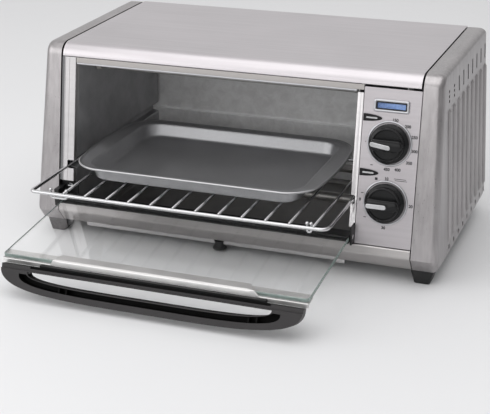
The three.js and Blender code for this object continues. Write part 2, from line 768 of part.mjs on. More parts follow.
// The left plate has a flange behind the rail, held by a screw that shows beside the door.
function leftHingeBracket() {
  const left = -CAP_SEAM_X + 0.4;
  const flange = block(left + 1, SCREW_X + 8, FLANGE_Y, FLANGE_Y + 1.5, SILL_TOP + 10, RECESS_TOP + 2.5);
  const tapping = rod('y', SHAFT_RADIUS / 2 + GAP, FLANGE_Y - 2, FLANGE_Y + 4, SCREW_X, SCREW_Z, 10);
  return cut(join(hingePlate(left, RAIL_LEFT - 0.8), flange), tapping);
}

function leftHingeScrew() {
  const head = rod('y', 3.4, FLANGE_Y - 2.6, FLANGE_Y - GAP, SCREW_X, SCREW_Z, 16);
  const shank = rod('y', SHAFT_RADIUS / 2, FLANGE_Y - 1, FLANGE_Y + 5, SCREW_X, SCREW_Z, 10);
  const slot = block(SCREW_X - 4, SCREW_X + 4, FLANGE_Y - 4, FLANGE_Y - 1.8, SCREW_Z - 0.4, SCREW_Z + 0.4);
  return cut(join(head, shank), slot);
}

// ---------------------------------------------------------------- assembly

part(oven, 'top_cover', topCover(), STEEL);
part(oven, 'right_end_cap', rightEndCap(), STEEL);
part(oven, 'left_end_cap', mirrored(rightEndCap()), STEEL);
part(oven, 'front_sill', frontSill(), STEEL);
part(oven, 'base_plate', basePlate(), GALVANISED);
part(oven, 'rear_panel', rearPanel(), GALVANISED);
part(oven, 'cord_gland', cordGland(), BLACK);
for (const [place, y] of [['front', FRONT_FOOT_Y], ['rear', REAR_FOOT_Y]]) {
  part(oven, `${place}_right_foot`, foot(1, y), BLACK);
  part(oven, `${place}_left_foot`, foot(-1, y), BLACK);
}

part(front, 'header_strip', headerStrip(), GALVANISED);
part(front, 'left_jamb', leftJamb(), GALVANISED);
part(front, 'right_jamb', rightJamb(), GALVANISED);
part(front, 'control_panel', controlPanel(), STEEL);
part(front, 'display_bezel', displayBezel(), DARK_STEEL);
part(front, 'display_lens', displayLens(), GLASS);
part(front, 'display_screen', displayScreen(), BLUE);
part(front, 'control_board', controlBoard(), BOARD);

const dials = [
  { name: 'temperature', z: TEMPERATURE_KNOB_Z, drive: 'thermostat', halfWidth: 17, depth: 26, badgeZ: 167 },
  { name: 'timer', z: TIMER_KNOB_Z, drive: 'timer_drive', halfWidth: 21, depth: 38, badgeZ: 112.8 },
];
for (const dial of dials) {
  part(front, `${dial.name}_dial_ring`, dialRing(dial.z), CHROME);
  part(front, `${dial.name}_badge`, badge(dial.badgeZ), BLACK);
  part(front, `${dial.name}_knob`, knob(dial.z), BLACK);
  part(front, `${dial.name}_pointer`, knobPointer(dial.z), CHROME);
  part(front, `${dial.name}_shaft`, controlShaft(dial.z), CHROME);
  part(front, dial.drive, shaftDrive(dial.z, dial.halfWidth, dial.depth), BLACK);
}

part(oven, 'left_cavity_wall', cavityWall(OPENING_LEFT, RACK_LEFT), DARK_STEEL);
part(oven, 'right_cavity_wall', cavityWall(OPENING_RIGHT, RACK_RIGHT), DARK_STEEL);
part(oven, 'cavity_ceiling', cavityCeiling(), GALVANISED);
part(oven, 'cavity_rear_wall', cavityRearWall(), GALVANISED);

for (const [level, z] of [['upper', UPPER_HEATER_Z], ['lower', LOWER_HEATER_Z]]) {
  part(oven, `${level}_front_heater`, heater(HEATER_ROWS[0], z), DARK_STEEL);
  part(oven, `${level}_rear_heater`, heater(HEATER_ROWS[1], z), DARK_STEEL);
  part(oven, `${level}_left_heater_support`, heaterSupport(-1, z), CERAMIC);
  part(oven, `${level}_right_heater_support`, heaterSupport(1, z), CERAMIC);
}

part(oven, 'left_hinge_bracket', leftHingeBracket(), BLACK);
part(oven, 'left_hinge_screw', leftHingeScrew(), CHROME);
part(oven, 'right_hinge_bracket', hingePlate(DOOR_RIGHT + 0.4, PANEL_LEFT - 0.3), BLACK);

part(door, 'door_glass', doorGlass(), GLASS);
part(door, 'hinge_rail', hingeRail(), BLACK);
part(door, 'left_hinge_pin', hingePin(-1), CHROME);
part(door, 'right_hinge_pin', hingePin(1), CHROME);
part(door, 'door_trim', doorTrim(), STEEL);

const handleGroup = new THREE.Group();
handleGroup.position.set(HANDLE_CENTRE_X, DOOR_LENGTH + 4, 5.2);
handleGroup.rotation.x = Math.PI / 2 - HANDLE_TILT;
door.add(handleGroup);
part(handleGroup, 'door_handle', doorHandle(), CHARCOAL);

part(oven, 'rack', rack(), CHROME);
part(oven, 'left_pull_hook', pullHook(-151), CHROME);
part(oven, 'right_pull_hook', pullHook(112), CHROME);
part(oven, 'bake_pan', bakePan(), NON_STICK);
part(oven, 'crumb_tray', crumbTray(), GALVANISED);
part(oven, 'crumb_tray_knob', crumbTrayKnob(), BLACK);

const middle = new THREE.Box3().setFromObject(oven).getCenter(new THREE.Vector3());
oven.position.y = -middle.y;

const group = new THREE.Group();
group.add(oven);

export default group;
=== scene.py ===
from math import cos, pi, radians, sin, sqrt, tan

import bmesh
import bpy
from mathutils import Matrix, Vector


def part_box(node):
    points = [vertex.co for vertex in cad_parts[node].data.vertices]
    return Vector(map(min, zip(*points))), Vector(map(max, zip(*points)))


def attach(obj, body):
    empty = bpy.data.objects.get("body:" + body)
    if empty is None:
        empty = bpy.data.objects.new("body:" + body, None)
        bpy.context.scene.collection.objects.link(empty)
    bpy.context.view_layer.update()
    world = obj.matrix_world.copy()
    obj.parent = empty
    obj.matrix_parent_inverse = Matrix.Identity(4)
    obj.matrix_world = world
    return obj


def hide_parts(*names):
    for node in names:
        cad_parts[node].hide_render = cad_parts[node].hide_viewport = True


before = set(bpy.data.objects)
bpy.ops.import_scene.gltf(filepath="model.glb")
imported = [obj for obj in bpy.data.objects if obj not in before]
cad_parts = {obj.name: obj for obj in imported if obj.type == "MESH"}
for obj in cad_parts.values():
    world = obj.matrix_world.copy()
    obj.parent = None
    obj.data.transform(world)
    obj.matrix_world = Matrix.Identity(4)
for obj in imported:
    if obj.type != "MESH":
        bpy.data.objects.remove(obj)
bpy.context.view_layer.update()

# A countertop toaster oven with its glass door open. Lengths are in millimetres in a layout
# whose y = 0 is the fold above the sill's bevel and whose z = 0 is the tabletop; the local
# spaces below turn them into metres in the CAD frame.

# ---- driving dimensions

MM = 0.001
HALF_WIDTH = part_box("right_end_cap")[1].x / MM
BODY_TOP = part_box("top_cover")[1].z / MM
BODY_BACK = 240
FOOT_HEIGHT = 15
SIDE_TAPER = 0.0427
SHEET = 1.2
THIN_SHEET = 0.8

LEAN = radians(9.9)
CREASE_Z = 30.2
SILL_SETBACK = 11.3
SILL_TOP = 39.4
ROLL_RADIUS = 15
SEAM_X = 197
COVER_GAP, SILL_GAP, REAR_GAP = 1.6, 0.7, 0.6
COVER_FRONT_Z = 198.8

OPENING_LEFT = -179.5
OPENING_RIGHT = 131.5
OPENING_TOP = 190.6
CAVITY_BACK = 232
PANEL_LEFT = 138.6
PANEL_X = 167.5
GLAND_X, GLAND_Z = 170, 45

HEATER_Y = {"front": 78, "rear": 168}
HEATER_Z = {"upper": 178, "lower": 56}
HEATER_RADIUS = {"upper": 4.0, "lower": 5.2}

RACK_Z = 84
RACK_FRONT = -76
RACK_BACK = 121
RACK_LEFT = -184
RACK_RIGHT = 134

HINGE_Y = -2
HINGE_Z = 48.5
DOOR_DROP = radians(4.7)
DOOR_LEFT = -185.6
DOOR_RIGHT = 136
DOOR_LENGTH = 136
GLASS = 4
HANDLE_X = -24
HANDLE_TILT = radians(25)

KNOB_Z = {"temperature": 143.2, "timer": 84.4}
BADGE_Z = {"temperature": 167, "timer": 112.8}

# ---- local spaces


def shift(x, y, z):
    return Matrix.Translation((x, y, z))


def rotate(angle, axis):
    return Matrix.Rotation(angle, 4, axis)


CREASE_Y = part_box("front_sill")[0].y / MM
OVEN = Matrix.Scale(MM, 4) @ shift(0, CREASE_Y, 0)
FRONT = OVEN @ shift(0, 0, CREASE_Z) @ rotate(pi / 2 - LEAN, "X")
DOOR = OVEN @ shift(0, HINGE_Y, HINGE_Z) @ rotate(pi + DOOR_DROP, "X")
HANDLE = DOOR @ shift(HANDLE_X, DOOR_LENGTH + 4, 5.2) @ rotate(pi / 2 - HANDLE_TILT, "X")


def front_y(z):
    """How far back the leaning front is at height z."""
    return (z - CREASE_Z) * tan(LEAN)


def up_front(z):
    """Distance up the slope of the front from its crease to height z."""
    return (z - CREASE_Z) / cos(LEAN)


def side_x(z):
    """How far out the tapered side is at height z."""
    return HALF_WIDTH - SIDE_TAPER * (z - FOOT_HEIGHT)


# ---- shells: (points, faces)


def merged(*shells):
    points, faces = [], []
    for shell_points, shell_faces in shells:
        start = len(points)
        points += shell_points
        faces += [[start + i for i in face] for face in shell_faces]
    return points, faces


def moved(shell, matrix):
    points, faces = shell
    return [tuple(matrix @ Vector(p)) for p in points], faces


def prism(outline, low, high, axis="z"):
    """A closed outline pushed along one axis: (y, z) along x, (x, z) along y, or (x, y) along z."""
    def at(a, b, c):
        return {"x": (c, a, b), "y": (a, c, b), "z": (a, b, c)}[axis]

    n = len(outline)
    points = [at(a, b, low) for a, b in outline] + [at(a, b, high) for a, b in outline]
    faces = [[i, (i + 1) % n, n + (i + 1) % n, n + i] for i in range(n)]
    return points, faces + [list(range(n))[::-1], list(range(n, 2 * n))]


def box(x0, x1, y0, y1, z0, z1):
    return prism([(x0, y0), (x1, y0), (x1, y1), (x0, y1)], z0, z1)


def lofted(rings, closed_ends=True):
    """A skin through rings of equally many points."""
    n = len(rings[0])
    points = [p for ring in rings for p in ring]
    faces = []
    for start in range(0, len(points) - n, n):
        for i in range(n):
            j = (i + 1) % n
            faces.append([start + i, start + j, start + n + j, start + n + i])
    if closed_ends:
        faces.append(list(range(n))[::-1])
        faces.append([len(points) - n + i for i in range(n)])
    return points, faces


def lathed(profile, steps=48):
    """(radius, height) points turned round the z axis; a point of no radius closes an end."""
    points, rows = [], []
    for radius, height in profile:
        count = steps if radius else 1
        rows.append([len(points) + i for i in range(count)])
        turns = [2 * pi * i / steps for i in range(count)]
        points += [(radius * cos(t), radius * sin(t), height) for t in turns]
    faces = []
    for lower, upper in zip(rows, rows[1:]):
        for i in range(steps):
            j = (i + 1) % steps
            corners = [row[k % len(row)] for row, k in ((lower, i), (lower, j), (upper, j), (upper, i))]
            faces.append(list(dict.fromkeys(corners)))
    return points, [f for f in faces if len(f) > 2]


def tube(path, radius, sides=12):
    """A round wire along points, its ends slightly domed."""
    path = [Vector(p) for p in path]
    last = len(path) - 1
    tangents = [(path[min(i + 1, last)] - path[max(i - 1, 0)]).normalized() for i in range(last + 1)]
    side = tangents[0].orthogonal().normalized()
    turns = [2 * pi * k / sides for k in range(sides)]
    rings = []
    for point, along in zip(path, tangents):
        side = (side - along * side.dot(along)).normalized()
        up = along.cross(side)
        ring = [(side * cos(t) + up * sin(t)) * radius for t in turns]
        rings.append([tuple(point + p) for p in ring])
        if len(rings) == 1:
            rings.insert(0, [tuple(point - along * radius * 0.4 + p * 0.6) for p in ring])
    rings.append([tuple(path[-1] + along * radius * 0.4 + p * 0.6) for p in ring])
    return lofted(rings)


def filleted(corners, radius, steps=5):
    """An open path of 3-D corners with every inner corner rounded."""
    corners = [Vector(c) for c in corners]
    path = [corners[0]]
    for before, here, after in zip(corners, corners[1:], corners[2:]):
        start = here + (before - here).normalized() * radius
        end = here + (after - here).normalized() * radius
        for i in range(steps + 1):
            t = i / steps
            path.append(start * (1 - t) ** 2 + here * 2 * t * (1 - t) + end * t * t)
    path.append(corners[-1])
    return path


def asides(path):
    """The unit vector to the right of a 2-D path at each of its points."""
    last = len(path) - 1
    alongs = [(path[min(i + 1, last)] - path[max(i - 1, 0)]).normalized() for i in range(last + 1)]
    return [Vector((along.y, -along.x)) for along in alongs]


def bent_strip(folds, thickness, radius=1.6):
    """Closed outline of a sheet that follows 2-D folds, its thickness to the right of them."""
    path = [Vector((p.x, p.y)) for p in filleted([(a, b, 0) for a, b in folds], radius, 4)]
    other = [point + aside * thickness for point, aside in zip(path, asides(path))]
    return [tuple(p) for p in path] + [tuple(p) for p in reversed(other)]


def arc(x, y, across, up, start, end, steps):
    """Points round part of an ellipse, from one angle to another."""
    turns = [start + (end - start) * i / steps for i in range(steps + 1)]
    return [(x + across * cos(t), y + up * sin(t)) for t in turns]


def rounded(x0, x1, y0, y1, radius, steps=6):
    """A rectangle with round corners."""
    left, right, low, high = x0 + radius, x1 - radius, y0 + radius, y1 - radius
    outline = []
    for quarter, (x, y) in enumerate([(right, low), (right, high), (left, high), (left, low)]):
        start = (quarter - 1) * pi / 2
        outline += arc(x, y, radius, radius, start, start + pi / 2, steps)
    return outline


def subdivided(outline, longest, parts=12):
    """A closed outline with its long straight runs split into equal parts."""
    points = []
    for (ax, ay), (bx, by) in zip(outline, outline[1:] + outline[:1]):
        n = parts if sqrt((bx - ax) ** 2 + (by - ay) ** 2) > longest else 1
        points += [(ax + (bx - ax) * i / n, ay + (by - ay) * i / n) for i in range(n)]
    return points


def circle(x, y, radius, steps=32):
    return arc(x, y, radius, radius, 0, 2 * pi, steps)[:-1]


def level(outline, z):
    """A flat outline as a ring of points at one height."""
    return [(x, y, z) for x, y in outline]


def plate(outline, holes, thickness):
    """A flat plate standing on z = 0, with holes right through it."""
    bm = bmesh.new()
    edges = []
    for loop in [outline, *holes]:
        verts = [bm.verts.new((x, y, 0)) for x, y in loop]
        edges += [bm.edges.new((verts[i - 1], verts[i])) for i in range(len(verts))]
    bmesh.ops.triangle_fill(bm, use_beauty=True, use_dissolve=False, edges=edges)
    made = bmesh.ops.extrude_face_region(bm, geom=bm.faces[:])
    top = [v for v in made["geom"] if isinstance(v, bmesh.types.BMVert)]
    bmesh.ops.translate(bm, verts=top, vec=(0, 0, thickness))
    bmesh.ops.dissolve_limit(bm, angle_limit=0.01, verts=bm.verts[:], edges=bm.edges[:])
    bm.verts.index_update()
    shell = [tuple(v.co) for v in bm.verts], [[v.index for v in f.verts] for f in bm.faces]
    bm.free()
    return shell


# ---- objects


def add_object(name, data):
    obj = bpy.data.objects.new(name, data)
    bpy.context.scene.collection.objects.link(obj)
    return obj


def solid(name, shell, space=OVEN):
    """A mesh object in the CAD frame from a shell in a local space."""
    points, faces = moved(shell, space)
    mesh = bpy.data.meshes.new(name)
    mesh.from_pydata(points, [], faces)
    bm = bmesh.new()
    bm.from_mesh(mesh)
    bmesh.ops.remove_doubles(bm, verts=bm.verts[:], dist=0.01 * MM)
    bmesh.ops.recalc_face_normals(bm, faces=bm.faces[:])
    bm.to_mesh(mesh)
    bm.free()
    return add_object(name, mesh)


def settle(obj):
    """Apply every modifier of an object to its mesh."""
    graph = bpy.context.evaluated_depsgraph_get()
    mesh = bpy.data.meshes.new_from_object(obj.evaluated_get(graph))
    obj.modifiers.clear()
    obj.data = mesh


def combine(obj, cutter, operation="DIFFERENCE"):
    """Cut one object out of another, or join it to the other, and use it up."""
    boolean = obj.modifiers.new("cut", "BOOLEAN")
    boolean.operation = operation
    boolean.solver = "EXACT"
    boolean.object = cutter
    settle(obj)
    bpy.data.objects.remove(cutter)


def carve(obj, shells, space=OVEN, operation="DIFFERENCE"):
    """Cut shells out of an object, or join them to it."""
    for shell in shells:
        combine(obj, solid("cutter", shell, space), operation)


def ease_edges(obj, width, segments, sharp):
    """Round the edges that are sharper than an angle, and keep the flats flat."""
    rounding = obj.modifiers.new("rounding", "BEVEL")
    rounding.width = width * MM
    rounding.segments = segments
    rounding.limit_method = "ANGLE"
    rounding.angle_limit = radians(sharp)
    obj.modifiers.new("flats", "WEIGHTED_NORMAL").keep_sharp = True


def finish(obj, material, slot, replaced="", body="housing", bevel=0.0, segments=2, sharp=40):
    """Round the edges, smooth the shading, paint the piece and ride it on its body."""
    obj.data.materials.clear()
    obj.data.materials.append(material)
    for polygon in obj.data.polygons:
        polygon.use_smooth = True
        polygon.material_index = 0
    if bevel:
        ease_edges(obj, bevel, segments, sharp)
    else:
        obj.data.set_sharp_from_angle(angle=radians(sharp))
    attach(obj, body)
    if replaced:
        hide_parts(replaced)


def piece(name, shell, material, slot, replaced="", space=OVEN, cuts=(), joins=(), **more):
    """Make one piece from a shell in a local space, join and cut more shells, and finish it."""
    obj = solid(name, shell, space)
    carve(obj, joins, space, "UNION")
    carve(obj, cuts, space)
    finish(obj, material, slot, replaced, **more)
    return obj


def repaint(obj, material, chosen, space=OVEN):
    """Give a second material to the faces that chosen(centre, normal) picks in a local space."""
    obj.data.materials.append(material)
    to_local = space.inverted()
    for polygon in obj.data.polygons:
        normal = (to_local.to_3x3() @ polygon.normal).normalized()
        if chosen(to_local @ polygon.center, normal):
            polygon.material_index = 1


# ---- materials


def shade(color, factor):
    return tuple(min(1.0, c * factor) for c in color)


class Nodes:
    """A shader node tree, with short names for the nodes that the looks share."""

    def __init__(self, tree):
        self.tree = tree

    def feed(self, node, inputs):
        """Set a node's inputs, by name or number, to values or to other nodes' outputs."""
        for key, value in inputs.items():
            if isinstance(value, bpy.types.NodeSocket):
                self.tree.links.new(value, node.inputs[key])
            else:
                node.inputs[key].default_value = value

    def add(self, kind, inputs, **settings):
        node = self.tree.nodes.new("ShaderNode" + kind)
        for key, value in settings.items():
            setattr(node, key, value)
        self.feed(node, inputs)
        return node

    def range(self, value, low, high, source=(0.25, 0.75)):
        ends = {"From Min": source[0], "From Max": source[1], "To Min": low, "To Max": high}
        return self.add("MapRange", {"Value": value, **ends}).outputs["Result"]

    def math(self, operation, a, b):
        return self.add("Math", {0: a, 1: b}, operation=operation).outputs["Value"]

    def sum(self, a, b, share=1):
        """One value plus a share of another."""
        return self.math("ADD", a, b if share == 1 else self.math("MULTIPLY", b, share))

    def blend(self, factor, color_a, color_b):
        inputs = {"Factor": factor, "A": (*color_a, 1), "B": (*color_b, 1)}
        return self.add("Mix", inputs, data_type="RGBA").outputs["Result"]


class Surface(Nodes):
    """The node tree of one material, built round its principled shader."""

    def __init__(self, name, color, roughness, metallic=0.0):
        self.material = bpy.data.materials.new(name)
        self.material.use_nodes = True
        super().__init__(self.material.node_tree)
        self.color = color
        self.shader = self.tree.nodes["Principled BSDF"]
        self.put({"Base Color": (*color, 1), "Roughness": roughness, "Metallic": metallic})
        self.place = self.add("TexCoord", {}).outputs["Object"]

    def put(self, inputs):
        self.feed(self.shader, inputs)

    def noise(self, scale, detail=3.0, roughness=0.55, distortion=0.0):
        """Noise of `scale` cells per metre, one number or one along each axis."""
        scale = scale if isinstance(scale, tuple) else (scale,) * 3
        place = self.add("Mapping", {"Vector": self.place, "Scale": scale}).outputs["Vector"]
        kind = {"Scale": 1, "Detail": detail, "Roughness": roughness, "Distortion": distortion}
        return self.add("TexNoise", {"Vector": place, **kind}).outputs["Fac"]

    def tint(self, tone, dark, light):
        """Let the colour wander between a darker and a lighter shade."""
        self.put({"Base Color": self.blend(tone, shade(self.color, dark), shade(self.color, light))})

    def roughen(self, value, low, high, source=(0.25, 0.75)):
        self.put({"Roughness": self.range(value, low, high, source)})

    def bump(self, height, strength, distance):
        inputs = {"Height": height, "Strength": strength, "Distance": distance}
        self.put({"Normal": self.add("Bump", inputs).outputs["Normal"]})


FLAKY = (0.35, 0.65)


def brushed_steel(name, along, color, roughness=0.35, streak=0.09):
    """Stainless sheet with its grain along x, y or z and a faint cloudiness."""
    steel = Surface(name, color, roughness, 1.0)
    grain = steel.noise(tuple(12 if axis == along else 900 for axis in "xyz"), 4, 0.7)
    bands = steel.noise(tuple(5 if axis == along else 260 for axis in "xyz"), 2)
    clouds = steel.noise(14)
    tone = steel.sum(steel.range(bands, 0, 0.5), steel.range(clouds, 0, 0.5))
    steel.tint(tone, 1 - streak, 1 + streak)
    rough = steel.range(grain, roughness - 0.07, roughness + 0.09)
    steel.put({"Roughness": steel.sum(rough, steel.range(clouds, -0.02, 0.03))})
    steel.bump(steel.sum(grain, bands, 0.25), 0.32, 0.00006)
    return steel.material


def galvanised(name, color, roughness=0.42, mottle=0.16, metallic=0.9):
    """Zinc-coated sheet: soft crystalline mottling over a fine grain."""
    zinc = Surface(name, color, roughness, metallic)
    flakes = zinc.noise(95, 5, 0.65, 0.6)
    clouds = zinc.noise(22)
    pits = zinc.noise(1400, 2)
    tone = zinc.sum(zinc.range(flakes, 0, 0.6, FLAKY), zinc.range(clouds, 0, 0.4))
    zinc.tint(tone, 1 - mottle, 1 + mottle)
    zinc.roughen(flakes, roughness - 0.08, roughness + 0.12, FLAKY)
    zinc.bump(zinc.sum(flakes, pits, 0.4), 0.18, 0.0001)
    return zinc.material


def chrome(name, color=(0.60, 0.60, 0.61), roughness=0.10):
    """Bright plating with faint drawing marks."""
    plating = Surface(name, color, roughness, 1.0)
    marks = plating.noise(2600, 2)
    haze = plating.noise(60)
    plating.roughen(haze, roughness - 0.03, roughness + 0.09)
    plating.tint(plating.range(haze, 0, 1), 0.92, 1)
    plating.bump(marks, 0.05, 0.00003)
    return plating.material


def non_stick(name):
    """Grey non-stick coating: a dull metallic sheen with a fine speckle."""
    coating = Surface(name, (0.35, 0.35, 0.36), 0.38, 0.85)
    speckle = coating.noise(2200, 2)
    wear = coating.noise(30, 4)
    tone = coating.sum(coating.range(speckle, 0, 0.6, FLAKY), coating.range(wear, 0, 0.4))
    coating.tint(tone, 0.82, 1.22)
    coating.roughen(wear, 0.33, 0.45)
    coating.bump(speckle, 0.2, 0.00006)
    return coating.material


def plastic(name, color, roughness, grain_scale=1500, grain=0.3, gloss=0.32):
    """Moulded plastic with a fine spark-eroded grain and slight gloss changes."""
    moulded = Surface(name, color, roughness)
    moulded.put({"Specular IOR Level": gloss})
    rub = moulded.noise(45, 4)
    moulded.tint(moulded.range(rub, 0, 1), 0.85, 1.25)
    moulded.roughen(rub, roughness - 0.06, roughness + 0.08)
    moulded.bump(moulded.noise(grain_scale, 2), grain, 0.00008)
    return moulded.material


def oxidised(name, color, roughness=0.55):
    """Metal darkened by heat, with cloudy light and dark stains."""
    metal = Surface(name, color, roughness, 0.8)
    stains = metal.noise(38, 5, 0.6)
    metal.tint(metal.range(stains, 0, 1), 0.75, 1.25)
    metal.roughen(stains, roughness - 0.12, roughness + 0.1)
    metal.bump(metal.noise(900), 0.15, 0.00008)
    return metal.material


def glass(name, tint):
    """Clear sheet that lets lamps through, with faint smears in its polish."""
    pane = Surface(name, tint, 0.0)
    pane.put({"Transmission Weight": 1.0, "IOR": 1.45})
    pane.roughen(pane.noise((9, 30, 9), 4), 0.0, 0.035)
    lamps = pane.add("LightPath", {}).outputs["Is Shadow Ray"]
    clear = pane.add("BsdfTransparent", {"Color": (*shade(tint, 0.99), 1)})
    choice = {"Fac": lamps, 1: pane.shader.outputs["BSDF"], 2: clear.outputs["BSDF"]}
    mix = pane.add("MixShader", choice)
    pane.feed(pane.tree.nodes["Material Output"], {"Surface": mix.outputs["Shader"]})
    return pane.material


def ground_edge(name):
    """The ground edge of tempered glass: milky green with a wavy grind."""
    edge = Surface(name, (0.20, 0.245, 0.23), 0.25)
    grind = edge.noise((60, 500, 500))
    edge.tint(edge.range(grind, 0, 1), 0.75, 1.4)
    edge.roughen(grind, 0.18, 0.34)
    edge.bump(grind, 0.2, 0.0001)
    return edge.material


def lit_display(name):
    """A lit blue screen whose glow wanders, with a faint cell grid."""
    screen = Surface(name, (0.16, 0.33, 0.75), 0.3)
    glow = screen.noise((22, 20, 60), 1)
    cells = screen.noise(900, 1)
    tone = screen.sum(screen.range(glow, 0, 0.8, (0.3, 0.7)), screen.range(cells, 0, 0.2))
    color = screen.blend(tone, (0.03, 0.075, 0.24), (0.24, 0.38, 0.70))
    screen.put({"Base Color": color, "Emission Color": color, "Emission Strength": 0.13})
    screen.roughen(cells, 0.22, 0.38)
    return screen.material


def solder_mask(name):
    """A green circuit board with a hint of its buried tracks."""
    board = Surface(name, (0.03, 0.16, 0.07), 0.35)
    tracks = board.noise((300, 300, 120), 0, distortion=1.5)
    tone = board.range(tracks, 0, 1, (0.45, 0.55))
    board.put({"Base Color": board.blend(tone, (0.02, 0.12, 0.05), (0.05, 0.22, 0.10))})
    board.roughen(tracks, 0.3, 0.42)
    board.bump(tracks, 0.3, 0.0001)
    return board.material


def glazed(name, color):
    """Off-white ceramic with a thin uneven glaze."""
    ceramic = Surface(name, color, 0.4)
    mottle = ceramic.noise(120, 4)
    ceramic.tint(ceramic.range(mottle, 0, 1), 0.88, 1.05)
    ceramic.roughen(mottle, 0.32, 0.5)
    ceramic.bump(mottle, 0.25, 0.0002)
    return ceramic.material


STEEL_X = brushed_steel("steel_grain_across", "x", (0.545, 0.518, 0.535))
CAP_STEEL = brushed_steel("cap_steel", "z", (0.365, 0.348, 0.352), 0.31, 0.24)
PANEL_STEEL = brushed_steel("panel_steel", "x", (0.475, 0.45, 0.465), 0.38)
SILL_STEEL = brushed_steel("sill_steel", "x", (0.49, 0.47, 0.465), 0.33)
HEADER_STEEL = brushed_steel("header_steel", "x", (0.385, 0.365, 0.355), 0.36)
# near-black steel for the left jamb's outer step: painted shade where the step lies in shadow
STEP_PAINTED_SHADE = brushed_steel("step_painted_shade", "z", (0.17, 0.17, 0.175), 0.42)
ZINC_BRIGHT = brushed_steel("bright_strip", "x", (0.58, 0.565, 0.57), 0.36)
# a lighter copy of the header's steel for its turned-back lip: a painted highlight along the lower edge
LIP_PAINTED_HIGHLIGHT = brushed_steel("lip_strip", "x", (0.60, 0.60, 0.62), 0.34)
ZINC = galvanised("zinc_sheet", (0.60, 0.60, 0.61), 0.46)
CAVITY_ZINC = galvanised("cavity_zinc_sheet", (0.95, 0.94, 0.94), 0.44, metallic=0.4)
# near-white sheet for the rear wall's ledge: a painted highlight along it
LEDGE_PAINTED_HIGHLIGHT = galvanised("ledge_painted_highlight", (0.98, 0.98, 0.98), 0.5, mottle=0.04, metallic=0.1)
CAVITY_SIDE = oxidised("heat_stained_sheet", (0.42, 0.42, 0.43), 0.5)
SHEATH = oxidised("heater_sheath", (0.50, 0.485, 0.47), 0.42)
DARK_SHEET = oxidised("dark_sheet", (0.25, 0.245, 0.24), 0.48)
WIRE_CHROME = chrome("plated_wire")
TRIM_CHROME = chrome("plated_trim", roughness=0.16)
TRIM_STEEL = chrome("trim_steel", (0.60, 0.59, 0.585), 0.44)
# a near-white copy of the trim steel for the trim's front face: a painted highlight
TRIM_FRONT_PAINTED_HIGHLIGHT = chrome("trim_front_painted_highlight", (0.92, 0.91, 0.90), 0.50)
# brighter metal for the pan's rolled rim: a painted highlight along the rim
RIM_PAINTED_HIGHLIGHT = chrome("pan_rim_painted_highlight", (0.50, 0.50, 0.51), 0.32)
BEZEL_GREY = chrome("bezel_metal", (0.50, 0.50, 0.52), 0.3)
COATING = non_stick("non_stick_coating")
BLACK = plastic("black_plastic", (0.013, 0.013, 0.0135), 0.45)
KNOB_BLACK = plastic("knob_plastic", (0.006, 0.006, 0.0065), 0.22, grain=0.10, gloss=0.27)
CHARCOAL = plastic("handle_plastic", (0.026, 0.024, 0.025), 0.40, 1100, 0.45)
# near-black for the handle's channel and the groove under the trim: painted shade in those hollows
CHANNEL_PAINTED_SHADE = plastic("channel_painted_shade", (0.0035, 0.0035, 0.0035), 0.6, gloss=0.08)
INK = plastic("dial_ink", (0.018, 0.018, 0.02), 0.5)
CERAMIC = glazed("ceramic_support", (0.42, 0.40, 0.37))
DOOR_GLASS = glass("door_glass_clear", (0.997, 1.0, 0.998))
LENS_GLASS = glass("lens_glass_clear", (0.96, 0.98, 1.0))
GLASS_EDGE = ground_edge("glass_ground_edge")
DISPLAY = lit_display("lit_display")
BOARD = solder_mask("circuit_board_green")


# ---- outer shell


def roll_points(depth=0.0, radius=ROLL_RADIUS, steps=14):
    """Points round the roll from the leaning front up to the flat top."""
    z = BODY_TOP - depth - radius
    y = (depth + radius + (z - CREASE_Z) * sin(LEAN)) / cos(LEAN)
    return arc(y, z, radius, radius, pi - LEAN, pi / 2, steps)


def make_top_cover():
    back, top, inside = BODY_BACK, BODY_TOP, BODY_BACK - SHEET
    fold, chamfer = 5, 0.8
    front = front_y(COVER_FRONT_Z)
    outer = [(front, COVER_FRONT_Z), *roll_points(), (back - 2, top), (back, top - 2), (back, top - fold)]
    inner = [
        (inside, top - fold), (inside - chamfer, top - SHEET - chamfer),
        *reversed(roll_points(SHEET, ROLL_RADIUS - SHEET)), (front + SHEET / cos(LEAN), COVER_FRONT_Z)]
    half = SEAM_X - COVER_GAP
    shell = prism(outer + inner, -half, half, "x")
    piece("top_cover_shell", shell, STEEL_X, "brushed_steel", "top_cover", bevel=0.35)


CAP_EDGE = 8
CAP_REACH = (CAP_EDGE, 5, 5, 8)
CAP_WALL = 1.0
RIB_FIRST = 54
RIB_PITCH = 22
RIB_COUNT = 9
RIB_ACROSS = [(-2.9, 0), (-2.0, 1.5), (-0.9, 1.9), (0.9, 1.9), (2.0, 1.5), (2.9, 0)]
RIB_Z = (33, 36, 171, 174)
LOW_SLOT = (24.5, 29.5)
HIGH_SLOT = [(180, 183), (183, 185), (185, 188), (188, 190), (190, 193), (193, 196)]
DOTS = HIGH_SLOT[::2]
DOTTED_RIBS = 2
REAR_TOP = 7
REAR_BOTTOM = 14
ARC_STEPS = 8


def cap_columns():
    """Where the side's grid has its columns: across each rib, from front to back."""
    return [RIB_FIRST + rib * RIB_PITCH + step for rib in range(RIB_COUNT) for step, _ in RIB_ACROSS]


